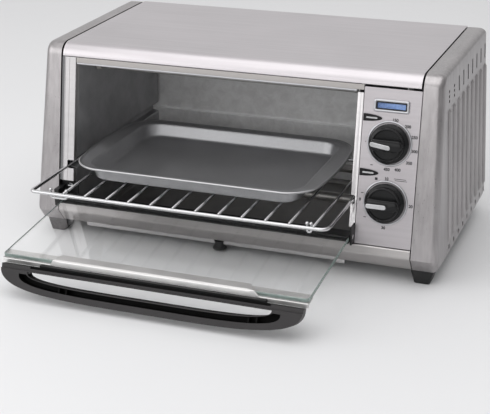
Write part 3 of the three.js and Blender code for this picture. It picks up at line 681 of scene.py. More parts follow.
def cap_ring(share, x_at):
    """One ring of an end cap, its outline moved in by a share of each edge's rounding."""
    front, top, back, bottom = (share * reach for reach in CAP_REACH)
    crease_z = CREASE_Z + bottom * 0.3
    up_slope = crease_z + 18
    crease_y = front / cos(LEAN)
    corners = [
        (SILL_SETBACK + front, FOOT_HEIGHT + bottom, 0), (crease_y, crease_z, 0),
        (crease_y + front_y(up_slope) - front_y(crease_z), up_slope, 0)]
    ring = [(p.x, p.y) for p in filleted(corners, 0.4 + 8 * share, 6)]
    depth = max(front, top)
    roll = roll_points(depth, max(ROLL_RADIUS - depth, 6), ARC_STEPS)
    ring += [(y, z + (depth - top)) for y, z in roll]
    y_turn, z_turn = BODY_BACK - REAR_TOP, BODY_TOP - REAR_TOP
    ring += [(y, BODY_TOP - top) for y in cap_columns() if y < y_turn]
    ring += arc(y_turn, z_turn, REAR_TOP - back, REAR_TOP - top, pi / 2, 0, ARC_STEPS)
    wide, tall = REAR_BOTTOM - back, REAR_BOTTOM - bottom
    y_low, z_low = BODY_BACK - REAR_BOTTOM, FOOT_HEIGHT + REAR_BOTTOM
    ring += arc(y_low, z_low, wide, tall, 0, -pi / 2 * 0.52, ARC_STEPS)[:-1]
    for y in reversed(cap_columns()):
        across = min(max(y - y_low, 0) / wide, 0.98)
        ring.append((y, z_low - tall * sqrt(1 - across ** 2)))
    return [(x_at(z), y, z) for y, z in ring]


def side_grid(ring):
    """The flat of the side between the innermost ring's top and bottom points, with its ribs."""
    columns = cap_columns()
    heights = [height for _, height in RIB_ACROSS] * RIB_COUNT
    rows = sorted({*LOW_SLOT, *RIB_Z, *(z for pair in HIGH_SLOT for z in pair)})
    top = {round(y, 3): (x, y, z) for x, y, z in ring if z > BODY_TOP / 2}
    low = {round(y, 3): (x, y, z) for x, y, z in ring if z < BODY_TOP / 2}
    points, faces = [], []
    for y, height in zip(columns, heights):
        points.append(low[round(y, 3)])
        for z in rows:
            proud = height if RIB_Z[1] <= z <= RIB_Z[2] else 0
            points.append((side_x(z) + proud, y, z))
        points.append(top[round(y, 3)])
    tall = len(rows) + 2
    for column in range(len(columns) - 1):
        rib, step = divmod(column, len(RIB_ACROSS))
        slots = [LOW_SLOT, *(DOTS if rib < DOTTED_RIBS else HIGH_SLOT)]
        for row in range(tall - 1):
            span = (rows[row - 1], rows[row]) if 0 < row < tall - 2 else None
            if 1 <= step <= 3 and span in slots:
                continue
            a = column * tall + row
            faces.append([a, a + tall, a + tall + 1, a + 1])
    return points, faces, tall


def end_cap_shell():
    """Right end cap as one skin: open seam edge, front and top strips, rounded edge, ribbed side."""
    steps = 7
    rings = [cap_ring(0, lambda z: SEAM_X + 0.3), cap_ring(0, lambda z: side_x(z) - CAP_EDGE)]
    for i in range(1, steps + 1):
        turn = i / steps * pi / 2
        rings.append(cap_ring(1 - cos(turn), lambda z, t=turn: side_x(z) - CAP_EDGE * (1 - sin(t))))
    inner = rings[-1]
    points, faces, tall = side_grid(inner)
    columns = cap_columns()
    starts, ends = (
        [i for i, p in enumerate(inner) if abs(p[1] - y) < 1e-3] for y in (columns[0], columns[-1]))
    front_gore = inner[starts[1]:] + inner[:starts[0]] + points[tall - 1:0:-1]
    rear_gore = inner[ends[0]:ends[1] + 1] + points[1 - tall:-1]
    gores = [(gore, [list(range(len(gore)))]) for gore in (front_gore, rear_gore)]
    return merged(lofted(rings, closed_ends=False), (points, faces), *gores)


def make_end_cap(name, side):
    cap = solid(f"{name}_end_cap_shell", end_cap_shell(), OVEN @ Matrix.Diagonal((side, 1, 1, 1)))
    wall = cap.modifiers.new("wall", "SOLIDIFY")
    wall.thickness = CAP_WALL * MM
    wall.offset = -1
    wall.use_even_offset = True
    settle(cap)
    finish(cap, CAP_STEEL, "brushed_steel", f"{name}_end_cap", sharp=28)


# ---- carried-over nodes


def keep(material, *names, bevel=0.3):
    """Paint CAD nodes and ease their edges."""
    for name in names:
        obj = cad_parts[name]
        obj.data.materials.clear()
        obj.data.materials.append(material)
        if bevel:
            ease_edges(obj, bevel, 2, 50)


def paint_kept_nodes():
    keep(DARK_SHEET, "base_plate")
    keep(BLACK, "left_hinge_bracket", "right_hinge_bracket", "thermostat", "timer_drive")
    keep(CAVITY_ZINC, "cavity_ceiling")
    keep(PANEL_STEEL, "control_panel", bevel=0.4)
    keep(BOARD, "control_board")
    keep(TRIM_CHROME, "temperature_shaft", "timer_shaft", "left_hinge_screw")
    keep(TRIM_CHROME, "left_hinge_pin", "right_hinge_pin")
    keep(LENS_GLASS, "display_lens", bevel=0)
    keep(DISPLAY, "display_screen")


# ---- sill, feet, back and underside


def make_sill():
    ledge_y = front_y(SILL_TOP)
    folds = [
        (16, FOOT_HEIGHT), (SILL_SETBACK, FOOT_HEIGHT), (0, CREASE_Z), (ledge_y, SILL_TOP),
        (ledge_y + 8, SILL_TOP)]
    half = SEAM_X - SILL_GAP
    shell = prism(bent_strip(folds, SHEET, 1.7), -half, half, "x")
    piece("front_sill_sheet", shell, SILL_STEEL, "brushed_steel", "front_sill", bevel=0.25)


FOOT_Y = {"front": 13, "rear": 140}
FOOT_X = (198, 215)
FOOT_DEPTH = 23
FOOT_FLARE = [(0, -1.2), (0.5, -0.3), (1.4, 0), (9, 2.2), (12, 3.2), (14.7, 3.4)]


def make_foot(place, y, name, side):
    rings = []
    for z, flare in FOOT_FLARE:
        left, right = FOOT_X[0] - flare, FOOT_X[1] + flare
        outline = rounded(left, right, y - min(flare, 1), y + FOOT_DEPTH + flare, 3 + flare / 2)
        rings.append([(side * x, b, z) for x, b in outline])
    foot = f"{place}_{name}_foot"
    piece(f"{foot}_pad", lofted(rings), BLACK, "black_plastic", foot, sharp=35)


GLAND_HOLE = 8.2
VENT_Z, VENT_HEIGHT = (176, 190), 4
VENT_COLUMNS, VENT_PITCH, VENT_HALF = 4, 38, 13
SCREW_X, SCREW_Z = (-185, 0, 185), (24, 203)


def make_rear_panel():
    half = SEAM_X - REAR_GAP
    back = BODY_BACK - 1.4 + SHEET
    holes = [circle(GLAND_X, GLAND_Z, GLAND_HOLE)]
    for z in VENT_Z:
        for column in range(-VENT_COLUMNS, VENT_COLUMNS + 1):
            x = column * VENT_PITCH
            holes.append(rounded(x - VENT_HALF, x + VENT_HALF, z, z + VENT_HEIGHT, 1.9))
    outline = rounded(-half, half, FOOT_HEIGHT + 1.6, BODY_TOP - 1.6, 2)
    shell = moved(plate(outline, holes, SHEET), shift(0, back, 0) @ rotate(pi / 2, "X"))
    piece("rear_panel_sheet", shell, ZINC, "galvanised", "rear_panel", bevel=0.3)
    for x in SCREW_X:
        for z in SCREW_Z:
            screw_head(f"rear_screw_{x + 200}_{z}", OVEN @ shift(x, back, z) @ rotate(-pi / 2, "X"))


def screw_head(name, space):
    """A low domed cross-head screw whose axis is the space's z."""
    dome = [(0, -0.3), (3.2, -0.3), (3.2, 0.25), (3.0, 0.7), (2.4, 1.05), (1.4, 1.25), (0, 1.3)]
    slots = [box(-2.0, 2.0, -0.35, 0.35, 0.55, 3), box(-0.35, 0.35, -2.0, 2.0, 0.55, 3)]
    piece(name, lathed(dome, 24), TRIM_CHROME, "chrome_trim", "", space, slots, sharp=30)


def make_cord_gland():
    profile = [
        (0, -8.5), (7.4, -8.5), (7.4, 1.6), (9.6, 1.6), (10.3, 2.0), (10.3, 3.0), (9.6, 3.5), (6.4, 3.8),
        (6.4, 4.2), (5.6, 4.4), (5.6, 5.0), (4.6, 5.3), (3.6, 5.3), (3.2, 4.6), (3.2, -7), (0, -7)]
    at = OVEN @ shift(GLAND_X, BODY_BACK - SHEET, GLAND_Z) @ rotate(-pi / 2, "X")
    piece("cord_gland_bush", lathed(profile), BLACK, "black_plastic", "cord_gland", at, sharp=35)


# ---- display and dials


BEZEL_LEFT, BEZEL_RIGHT, BEZEL_LOW, BEZEL_HIGH = 149, 185, up_front(173.5), up_front(186)
BEZEL = [
    (0, 2.2, 0.3), (0, 2.2, 1.1), (0.3, 2.0, 1.6), (0.9, 1.8, 1.9), (1.8, 1.4, 1.9), (2.3, 1.1, 1.6),
    (2.5, 1.0, 1.0), (2.5, 1.0, 0.3)]
GASKET = [(2.6, 1.0, 0.33), (2.6, 1.0, 0.9), (3.7, 0.6, 0.8), (3.7, 0.6, 0.33)]


def display_frame(section):
    """A closed loop round the display, through rings given by inset, corner radius and height."""
    rings = []
    for inset, corner, z in section + section[:1]:
        outline = rounded(
            BEZEL_LEFT + inset, BEZEL_RIGHT - inset, BEZEL_LOW + inset, BEZEL_HIGH - inset, corner)
        rings.append(level(outline, z))
    return lofted(rings, closed_ends=False)


def make_bezel():
    """The frame round the display, and the dark gasket between it and the lens."""
    bezel, gasket = display_frame(BEZEL), display_frame(GASKET)
    piece("display_bezel_frame", bezel, BEZEL_GREY, "bezel_metal", "display_bezel", FRONT, sharp=50)
    piece("display_gasket_ring", gasket, BLACK, "black_plastic", space=FRONT)


MARK_HEIGHT = 2.9
MARK_MIDDLE = 0.045
PLAIN_MARKS = {"dash": (1.3, 0.4), "dot": (0.5, 0.4), "square": (1.4, 1.3), "rule": (6.2, 0.28)}
MARKS = {
    "temperature": [
        ("150", 171.6, 166.4), ("200", 184.6, 161.4), ("250", 192.0, 151.5), ("300", 193.0, 138),
        ("350", 188.4, 126.1), ("400", 177.4, 118.2), ("450", 166.4, 117.6), ("dash", 150.8, 120.6),
        ("dot", 143.0, 143.1)],
    "timer": [
        ("10", 167, 108.3), ("20", 193.4, 83.7), ("30", 167.3, 59.2), ("dash", 147.6, 68.0),
        ("0", 141.4, 85), ("square", 156.6, 107.4), ("rule", 180.6, 109.2), ("rule", 181.6, 107.6),
        ("dash", 143.4, 92)],
}


def printed(text):
    """A number, or a plain mark by its name, as a thin shell centred on its place."""
    if text in PLAIN_MARKS:
        across, up = PLAIN_MARKS[text]
        return box(-across, across, -up, up, -0.025, 0.025)
    curve = bpy.data.curves.new("mark", "FONT")
    curve.body = text
    curve.size = MARK_HEIGHT / 0.7
    curve.align_x = "CENTER"
    curve.align_y = "CENTER"
    curve.extrude = 0.025
    curve.offset = 0.17
    curve.resolution_u = 3
    obj = add_object("mark", curve)
    mesh = bpy.data.meshes.new_from_object(obj)
    bpy.data.objects.remove(obj)
    return [tuple(v.co) for v in mesh.vertices], [list(p.vertices) for p in mesh.polygons]


def make_marks(dial):
    """Everything printed round one dial, as one thin piece."""
    shells = [moved(printed(text), shift(x, up_front(z), MARK_MIDDLE)) for text, x, z in MARKS[dial]]
    piece(f"{dial}_marks", merged(*shells), INK, "black_plastic", space=FRONT)


def make_badge(dial):
    half_round = arc(0, 0, 19.2, 3.7, -pi / 2, pi / 2, 24)
    at = shift(PANEL_LEFT + 0.6, up_front(BADGE_Z[dial]), 0.3)
    badge = moved(prism(half_round, 0, 0.75), at)
    piece(f"{dial}_badge_plate", badge, KNOB_BLACK, "black_plastic", f"{dial}_badge", FRONT, bevel=0.3)
    bar = moved(prism(rounded(3, 14.5, -0.8, 0.8, 0.7), 0.7, 0.95), at)
    piece(f"{dial}_badge_inlay", bar, TRIM_CHROME, "chrome_trim", space=FRONT, bevel=0.08)


POINTER_TILT = {"temperature": radians(-8), "timer": 0}
DIAL_RING = [(20.7, 0.3), (22.9, 0.3), (22.8, 0.8), (22.3, 1.3), (21.5, 1.4), (20.9, 1.1), (20.7, 0.3)]
KNOB = [
    (0, 1.6), (19.4, 1.6), (19.8, 2.0), (19.8, 4.4), (19.5, 5.2), (18.8, 5.8), (17.6, 6.2), (17.0, 6.5),
    (16.8, 7.2), (16.6, 10.2), (16.3, 10.9), (15.7, 11.2), (15.0, 11.1), (14.6, 10.6), (14.4, 9.8),
    (0, 9.4)]
GRIP = [(8.5, 16.2, 6.4), (14.5, 16.0, 5.9), (16.2, 15.8, 5.7), (17.0, 15.4, 5.3), (17.4, 14.8, 4.7)]


def make_dial(dial):
    """A ring on the panel, and a knob with a raised grip and a bright pointer let into it."""
    body = f"{dial}_control"
    at = FRONT @ shift(PANEL_X, up_front(KNOB_Z[dial]), 0)
    ring = lathed(DIAL_RING, 72)
    piece(f"{dial}_dial_halo", ring, BEZEL_GREY, "chrome_trim", f"{dial}_dial_ring", at, sharp=50)

    grip = lofted([level(rounded(-half, half, -wide, wide, wide - 0.4, 8), z) for z, half, wide in GRIP])
    tilt = rotate(POINTER_TILT[dial], "Z")
    seat = moved(prism(rounded(-17.5, 5.5, -4.2, 1.2, 2.6), 16.5, 20), tilt)
    piece(f"{dial}_knob_body", lathed(KNOB, 72), KNOB_BLACK, "knob_plastic", f"{dial}_knob", at,
          [seat], [grip], body=body, sharp=38)

    insert = moved(prism(rounded(-15.7, 5.1, -3.8, 0.8, 2.1), 16.6, 17.75), tilt)
    piece(f"{dial}_pointer_insert", insert, TRIM_CHROME, "chrome_trim", f"{dial}_pointer", at,
          body=body, bevel=0.5, segments=3)


# ---- header and jambs


def rack_notch(left, right):
    """Room for the rack's wire to pass through a jamb."""
    up, half = up_front(RACK_Z), 4.5
    return prism(rounded(left, right, up - half, up + half, 1.5), -20, 5)


def make_header():
    """The strip over the opening: a drawn face, and a lip turned back along its lower edge, painted
    lighter than the face of the same sheet as a painted highlight.
    """
    low, high = up_front(OPENING_TOP + 0.3), up_front(COVER_FRONT_Z - 0.5)
    lip_top = low + 2.0
    section = bent_strip([(low, -8.6), (low, 0), (lip_top, 0)], SHEET, 1.5)
    lip = prism(section, OPENING_LEFT + 1, OPENING_RIGHT - 1, "x")
    # the lip gets a lighter steel than the face: a painted highlight
    piece("header_lip_strip", lip, LIP_PAINTED_HIGHLIGHT, "galvanised", space=FRONT, bevel=0.15)
    face = box(OPENING_LEFT + 0.3, PANEL_LEFT - 0.6, lip_top + 0.1, high, -SHEET - 0.3, -0.3)
    piece("header_strip_sheet", face, HEADER_STEEL, "galvanised", "header_strip", FRONT, bevel=0.15)


def make_left_jamb():
    """The folded strip beside the opening, with painted shade on the step at its outer edge, and a fine
    groove.
    """
    low, high = up_front(66), up_front(COVER_FRONT_Z - 0.5)
    step_x, step_depth = -192.2, -1.3
    folds = [
        (-196.4, step_depth), (step_x, step_depth), (step_x, 0), (OPENING_LEFT, 0), (OPENING_LEFT, -7)]
    groove = box(-187.2, -186.8, low - 5, high + 5, -0.35, 3)
    cuts = [rack_notch(RACK_LEFT - 3.5, OPENING_LEFT + 4), groove]
    strip = prism(bent_strip(folds, THIN_SHEET, 1.0), low, high, "y")
    jamb = piece("left_jamb_strip", strip, ZINC_BRIGHT, "galvanised", "left_jamb", FRONT, cuts,
                 bevel=0.12)
    # the faces of the outer step get the near-black steel: painted shade along the step
    repaint(jamb, STEP_PAINTED_SHADE, lambda centre, normal: centre.x < step_x - 0.2)


def make_right_jamb():
    """The narrow strip between the opening and the panel; it reaches lowest beside the hinge."""
    low, shoulder, high = up_front(56), up_front(60.6), up_front(OPENING_TOP - 0.2)
    edge = PANEL_LEFT - 2.4
    section = bent_strip([(OPENING_RIGHT, -7), (OPENING_RIGHT, 0), (edge, 0)], THIN_SHEET, 1.0)
    strip = prism(section, low, high, "y")
    wing = box(edge - 0.5, PANEL_LEFT - 0.6, shoulder, high, -THIN_SHEET, 0)
    notch = rack_notch(OPENING_RIGHT - 4, RACK_RIGHT + 2.3)
    piece("right_jamb_strip", strip, ZINC_BRIGHT, "galvanised", "right_jamb", FRONT, [notch], [wing],
          bevel=0.12)


# ---- inside the cavity


def make_cavity_wall(name, x, wire_x):
    """A side wall with a rounded groove for the rack's wire, its front edge following the lean."""
    above_hinge, behind_hinge, setback = 63, 19, 7.3
    side = 1 if x > 0 else -1
    out = wire_x + side * 3.2
    folds = [
        (x, 18), (x, above_hinge), (x, RACK_Z - 5.4), (out, RACK_Z - 4), (out, RACK_Z + 4),
        (x, RACK_Z + 5.4), (x, OPENING_TOP)]
    points, faces = prism(bent_strip(folds[::side], 1, 1.2), 0, 1, "y")
    placed = []
    for px, y, z in points:
        front = front_y(z) + setback if z > above_hinge - 2 else behind_hinge
        placed.append((px, front if y == 0 else CAVITY_BACK - 0.4, z))
    piece(f"{name}_cavity_wall_sheet", (placed, faces), CAVITY_SIDE, "cavity_side",
          f"{name}_cavity_wall", bevel=0.2)


def make_cavity_back():
    """The rear wall, with a narrow ledge pressed across it just below the pan, and a painted highlight on
    the ledge.
    """
    ledge, low, high = 83, FOOT_HEIGHT + 1.6, OPENING_TOP + 3
    upper = CAVITY_BACK + 4
    folds = [(CAVITY_BACK, low), (CAVITY_BACK, ledge), (upper, ledge), (upper, high)]
    shell = prism(bent_strip(folds, 1, 1.05), OPENING_LEFT - 9, OPENING_RIGHT + 7, "x")
    wall = piece("cavity_back_sheet", shell, CAVITY_ZINC, "galvanised", "cavity_rear_wall", bevel=0.15)
    # the ledge's faces get the near-white material: a painted highlight along the ledge
    repaint(wall, LEDGE_PAINTED_HIGHLIGHT, lambda centre, normal: abs(normal.z) > 0.3 and abs(centre.z - ledge) < 2)


def make_heater_holders(side, x, direction):
    """A stepped ceramic bush round each end of each heating element."""
    bush = [
        (4.1, 0.6), (5.7, 0.6), (5.7, 2.0), (5.4, 2.6), (5.0, 2.9), (4.9, 5.2), (4.7, 5.6), (4.1, 5.6),
        (4.1, 0.6)]
    turn = rotate(direction * pi / 2, "Y")
    for place, z in HEATER_Z.items():
        shells = [moved(lathed(bush, 32), shift(x, y, z) @ turn) for y in HEATER_Y.values()]
        piece(f"{place}_{side}_heater_bushes", merged(*shells), CERAMIC, "ceramic",
              f"{place}_{side}_heater_support")


def make_heater(place, row, radius):
    """A straight sheathed bar, stepped down at both ends where the bushes hold it."""
    left, length = OPENING_LEFT + 3, OPENING_RIGHT - OPENING_LEFT - 6
    profile = [(0, 0), (3.0, 0), (3.0, 9), (3.9, 10), (radius + 0.4, 13), (radius, 14)]
    mirror = [(r, length - h) for r, h in reversed(profile)]
    space = OVEN @ shift(left, HEATER_Y[row], HEATER_Z[place]) @ rotate(pi / 2, "Y")
    name = f"{place}_{row}_heater"
    piece(f"{name}_sheath", lathed(profile + mirror, 24), SHEATH, "heater_sheath", name, space, sharp=35)


# ---- rack, hooks and pan

FRAME_WIRE = 1.9
RUNG_WIRE = 1.25
RACK_BOW = 1.2
RUNG_FIRST = -145.5
RUNG_PITCH = 24.2
RUNG_COUNT = 12
RUNG_RISE = 2.6


def rack_front(x):
    """Where the rack's slightly bowed front rail runs."""
    middle, half = (RACK_LEFT + RACK_RIGHT) / 2, (RACK_RIGHT - RACK_LEFT) / 2
    return RACK_FRONT - RACK_BOW * (1 - ((x - middle) / half) ** 2)


def make_rack():
    def on_rail(x):
        return Vector((x, rack_front(x), RACK_Z))

    back_left, back_right = (RACK_LEFT, RACK_BACK, RACK_Z), (RACK_RIGHT, RACK_BACK, RACK_Z)
    left_end, right_end = RACK_LEFT + 5, RACK_RIGHT - 10
    corner_left = filleted([back_left, on_rail(RACK_LEFT), on_rail(left_end)], 4.5, 8)
    corner_right = filleted([on_rail(right_end), on_rail(RACK_RIGHT), back_right], 9.5, 10)
    steps = 16
    rail = [on_rail(left_end + (right_end - left_end) * i / steps) for i in range(1, steps)]
    loop = [corner_left + rail + corner_right, [back_left, back_right]]
    wires = [tube(path, FRAME_WIRE, 16) for path in loop]
    z = RACK_Z + RUNG_RISE
    for i in range(RUNG_COUNT):
        x = RUNG_FIRST + i * RUNG_PITCH
        wires.append(tube([(x, rack_front(x) - 0.6, z), (x, RACK_BACK + 0.6, z)], RUNG_WIRE))
    piece("rack_wires", merged(*wires), WIRE_CHROME, "chrome_wire", "rack", sharp=60, body="rack")


HOOK_WIRE = 1.1
HOOK_BALL = 1.9


def make_hook(name, x, half):
    """A loop of wire hung behind the rack's front rail, with a ball on each end."""
    y = RACK_FRONT + 2.2 + HOOK_WIRE + 0.3
    top, low = RACK_Z + 3.2, RACK_Z - 5.5
    turns = [pi * i / 10 for i in range(11)]
    ball = lathed([(HOOK_BALL * sin(t), -HOOK_BALL * cos(t)) for t in turns], 16)
    corners = [(x - half, y, top), (x - half, y, low), (x + half, y, low), (x + half, y, top)]
    shells = [tube(filleted(corners, min(3, half), 8), HOOK_WIRE)]
    shells += [moved(ball, shift(x + end * half, y, top)) for end in (-1, 1)]
    hook = f"{name}_pull_hook"
    piece(f"{hook}_wire", merged(*shells), WIRE_CHROME, "chrome_wire", hook, sharp=60, body="rack")


PAN_LEFT, PAN_RIGHT, PAN_FRONT, PAN_BACK = -160, 113, -48, 123
PAN_BOTTOM, PAN_RIM, PAN_CORNER = 88.4, 105.5, 30
BRIM_SIDE, BRIM_FRONT = 19, 7
BRIM_BOW = 9


def pan_ring(brim, inset, z):
    """The pan's outline at one height: 0 to 1 of the brim's width inwards, and an inset more."""
    side, ends = BRIM_SIDE * brim + inset, BRIM_FRONT * brim + inset
    corner = max(PAN_CORNER - 6 * brim - inset, 5)
    x0, x1, y0, y1 = PAN_LEFT + side, PAN_RIGHT - side, PAN_FRONT + ends, PAN_BACK - ends
    middle_x, middle_y = (x0 + x1) / 2, (y0 + y1) / 2
    points = []
    for x, y in subdivided(rounded(x0, x1, y0, y1, corner, 12), 12):
        endwards = min(1, abs(y - middle_y) / ((y1 - y0) / 2))
        sidewards = min(1, abs(x - middle_x) / ((x1 - x0) / 2))
        out = 1 if x > middle_x else -1
        points.append((x - out * BRIM_BOW * (1 - brim) * endwards ** 2 * sidewards, y, z))
    return points


def make_pan():
    """A deep pan pressed from sheet, its flat brim broad at both ends and narrow elsewhere, with a
    painted highlight along its rolled rim.
    """
    low, rim = PAN_BOTTOM, PAN_RIM
    profile = [
        (1, 10, low), (1, 7, low + 0.4), (1, 5, low + 1.6), (1, 4.2, low + 3), (1, 1.6, rim - 4.6),
        (1, 0.8, rim - 3.4), (0.9, 0.2, rim - 2.9), (0, 2.6, rim - 2.5), (0, 0.9, rim - 2.6),
        (0, 0.2, rim - 2.0), (0, 0, rim - 1.2), (0, 0.3, rim - 0.4), (0, 1.0, rim), (0, 1.9, rim - 0.3),
        (0, 3.0, rim - 0.9), (0.9, 0.6, rim - 1.2), (1, 0.8, rim - 1.4), (1, 1.7, rim - 2.2),
        (1, 2.5, rim - 3.8), (1, 5.2, low + 4.4), (1, 6.2, low + 2.6), (1, 8.2, low + 1.5),
        (1, 12, low + 1.1)]
    shell = lofted([pan_ring(*point) for point in profile])
    pan = piece("bake_pan_shell", shell, COATING, "non_stick", "bake_pan", sharp=70, body="pan")
    # the faces at the top of the rim get the brighter metal: a painted highlight
    repaint(pan, RIM_PAINTED_HIGHLIGHT, lambda centre, normal: centre.z > rim - 0.9)


# ---- door


def make_door_glass():
    half, chamfer = GLASS / 2, 0.6
    rings = []
    for inset, z in ((chamfer, -half), (0, chamfer - half), (0, half - chamfer), (chamfer, half)):
        front, back = 3 + inset, DOOR_LENGTH - 1.6 - inset
        rings.append(level(rounded(DOOR_LEFT + inset, DOOR_RIGHT - inset, front, back, 3.5), z))
    pane = piece("door_glass_pane", lofted(rings), DOOR_GLASS, "door_glass", "door_glass", DOOR,
                 sharp=20, body="door")
    repaint(pane, GLASS_EDGE, lambda centre, normal: abs(normal.z) <= 0.9, DOOR)


def make_hinge_rail():
    """A channel that holds the glass, with a block at its left end and a bore at each end."""
    left, right, half = -190.6, DOOR_RIGHT, 4.2
    slot, root, lip = GLASS / 2 + 0.3, 2.7, 9
    section = [
        (-half, -half), (lip, -half), (lip, -slot), (root, -slot), (root, slot), (lip, slot), (lip, half),
        (-half, half)]
    block = box(left, DOOR_LEFT - 0.5, 0.2 - half, lip - 0.2, 0.2 - half, half - 0.2)
    bore = lathed([(0, 0), (2.8, 0), (2.8, 13), (0, 13)], 24)
    bores = [moved(bore, shift(x, 0, 0) @ rotate(pi / 2, "Y")) for x in (left - 5, right - 9)]
    piece("hinge_rail_bar", prism(section, left, right, "x"), BLACK, "black_plastic", "hinge_rail", DOOR,
          bores, [block], body="door", bevel=0.5)


TRIM_BACK = 122
TRIM_LEFT, TRIM_RIGHT = -128, 82
RISE_LEFT, RISE_RIGHT = 9, 13


def ease(t):
    t = max(0.0, min(1.0, t))
    return t * t * (3 - 2 * t)


def trim_section(rise):
    """Mid-line of the trim in (along door, outward) at a given share of its rise."""
    lift, cover = ease(rise * 2), ease(rise * 2 - 1)
    top, low = 2.6 - 5.6 * lift, 6.9 - 4.4 * lift
    face = DOOR_LENGTH - SHEET / 2
    nose = 0.35 + 1.4 * cover
    start = (TRIM_BACK + 2.5) * cover + (face - nose - 0.2) * (1 - cover)
    path = [(start, top), ((start + face - nose) / 2, top)]
    path += arc(face - nose, top + nose, nose, nose, -pi / 2, 0, 6)
    middle = top + nose
    return path + [(face, middle + (low - middle) * share) for share in (0.35, 0.7, 1.0)]


def make_door_trim():
    """A bright strip along the door's far edge that rises over the glass between its two ramps."""
    stations = [DOOR_LEFT, DOOR_LEFT + 20]
    stations += [TRIM_LEFT - RISE_LEFT / 2 + RISE_LEFT * i / 14 for i in range(15)]
    stations += [-60, -24, 20]
    stations += [TRIM_RIGHT - RISE_RIGHT / 2 + RISE_RIGHT * i / 14 for i in range(15)]
    stations += [DOOR_RIGHT - 20, DOOR_RIGHT]
    rings = []
    for x in stations:
        rise = min((x - TRIM_LEFT) / RISE_LEFT + 0.5, (TRIM_RIGHT - x) / RISE_RIGHT + 0.5)
        path = [Vector(p) for p in trim_section(max(0.0, min(1.0, rise)))]
        offsets = [aside * SHEET / 2 for aside in asides(path)]
        left = [(x, *(point + offset)) for point, offset in zip(path, offsets)]
        right = [(x, *(point - offset)) for point, offset in zip(path, offsets)]
        rings.append(left + right[::-1])
    flange = box(DOOR_LEFT, DOOR_RIGHT, TRIM_BACK, DOOR_LENGTH - SHEET * 0.6, 2.3, 3.5)
    shell = merged(lofted(rings), flange)
    trim = piece("door_trim_strip", shell, TRIM_STEEL, "brushed_steel", "door_trim", DOOR,
                 bevel=0.25, sharp=50, body="door")
    # the trim's forward-facing faces get the near-white steel: a painted highlight
    repaint(trim, TRIM_FRONT_PAINTED_HIGHLIGHT, lambda centre, normal: normal.y > 0.8, DOOR)
    strip = box(TRIM_LEFT - 14, TRIM_RIGHT + 14, 136.1, 139.6, 3.2, 7.2)
    piece("handle_backing_strip", strip, BLACK, "black_plastic", space=DOOR, bevel=0.3, body="door")


HANDLE_HALF = 158
HANDLE_REACH = 28.8
HANDLE_UPPER, HANDLE_LOWER = -6, 4
ARCH_POWER = 0.68
RIB_X = (-92, -84, 106, 114)


def arch(half_width, base, reach, low, high, steps=56):
    """A flat-topped bow: straight along its base and bulging out to its reach."""
    outline = []
    for i in range(steps + 1):
        turn = i / steps * pi
        across = abs(cos(turn)) ** 0.5 * (1 if cos(turn) > 0 else -1)
        outline.append((across * half_width, base + sin(turn) ** ARCH_POWER * (reach - base)))
    return prism(outline, low, high)


def inside_arch(x, y, half_width, base, reach):
    rise = max(y - base, 0) / (reach - base)
    return y > base and (x / half_width) ** 4 + rise ** (2 / ARCH_POWER) < 1


def make_handle():
    """A bow with a finger hole, a ribbed channel round the hole, and a groove under the trim, the channel
    and the groove painted near-black as painted shade.
    """
    upper, lower = HANDLE_UPPER, HANDLE_LOWER
    handle = solid("door_handle_grip", arch(HANDLE_HALF, 0, HANDLE_REACH, upper, lower), HANDLE)
    channel = solid("channel", arch(137, 8, 22.5, upper - 5, lower - 1.2), HANDLE)
    ribs = [box(x - 0.8, x + 0.8, 5, 24, upper + 1.5, lower + 1) for x in RIB_X]
    carve(channel, [arch(130, 4, 16.8, upper - 6, lower + 1), *ribs], HANDLE)
    combine(handle, channel)
    ledge = box(-200, 200, -5, 4.5, upper - 5, -4)
    groove = box(-126, 126, -5, 2.0, upper - 5, -1)
    carve(handle, [ledge, groove, arch(128, 5.5, 15.5, upper - 5, lower + 5)], HANDLE)
    finish(handle, CHARCOAL, "handle_plastic", "door_handle", "door", bevel=0.7, segments=3, sharp=45)

    def shaded(centre, normal):
        x, y, z = centre
        in_channel = inside_arch(x, y, 137.4, 7.6, 22.9) and z > upper + 0.3
        return in_channel or (y < 2.1 and abs(x) < 126.5)

    # faces inside the channel and in the groove get the near-black: painted shade
    repaint(handle, CHANNEL_PAINTED_SHADE, shaded, HANDLE)


# ---- crumb tray

TRAY_LEFT, TRAY_RIGHT, TRAY_FRONT, TRAY_BACK = -173.2, 125.2, 21.8, 224.2
TRAY_BOTTOM = 12.6
TRAY_WALL = [
    (1.5, 0), (0.4, 0.5), (0, 1.4), (0, 4.4), (0.3, 5), (0.7, 5), (1.0, 4.4), (1.0, 1.9), (1.4, 1.2),
    (2.4, 1.0)]
TRAY_KNOB = [
    (0, 2.6), (6.6, 2.6), (7.3, 3.0), (7.5, 3.8), (7.2, 4.8), (6.2, 5.8), (5.7, 6.8), (5.5, 9.0),
    (5.6, 11.2), (6.0, 12.4), (0, 12.4)]


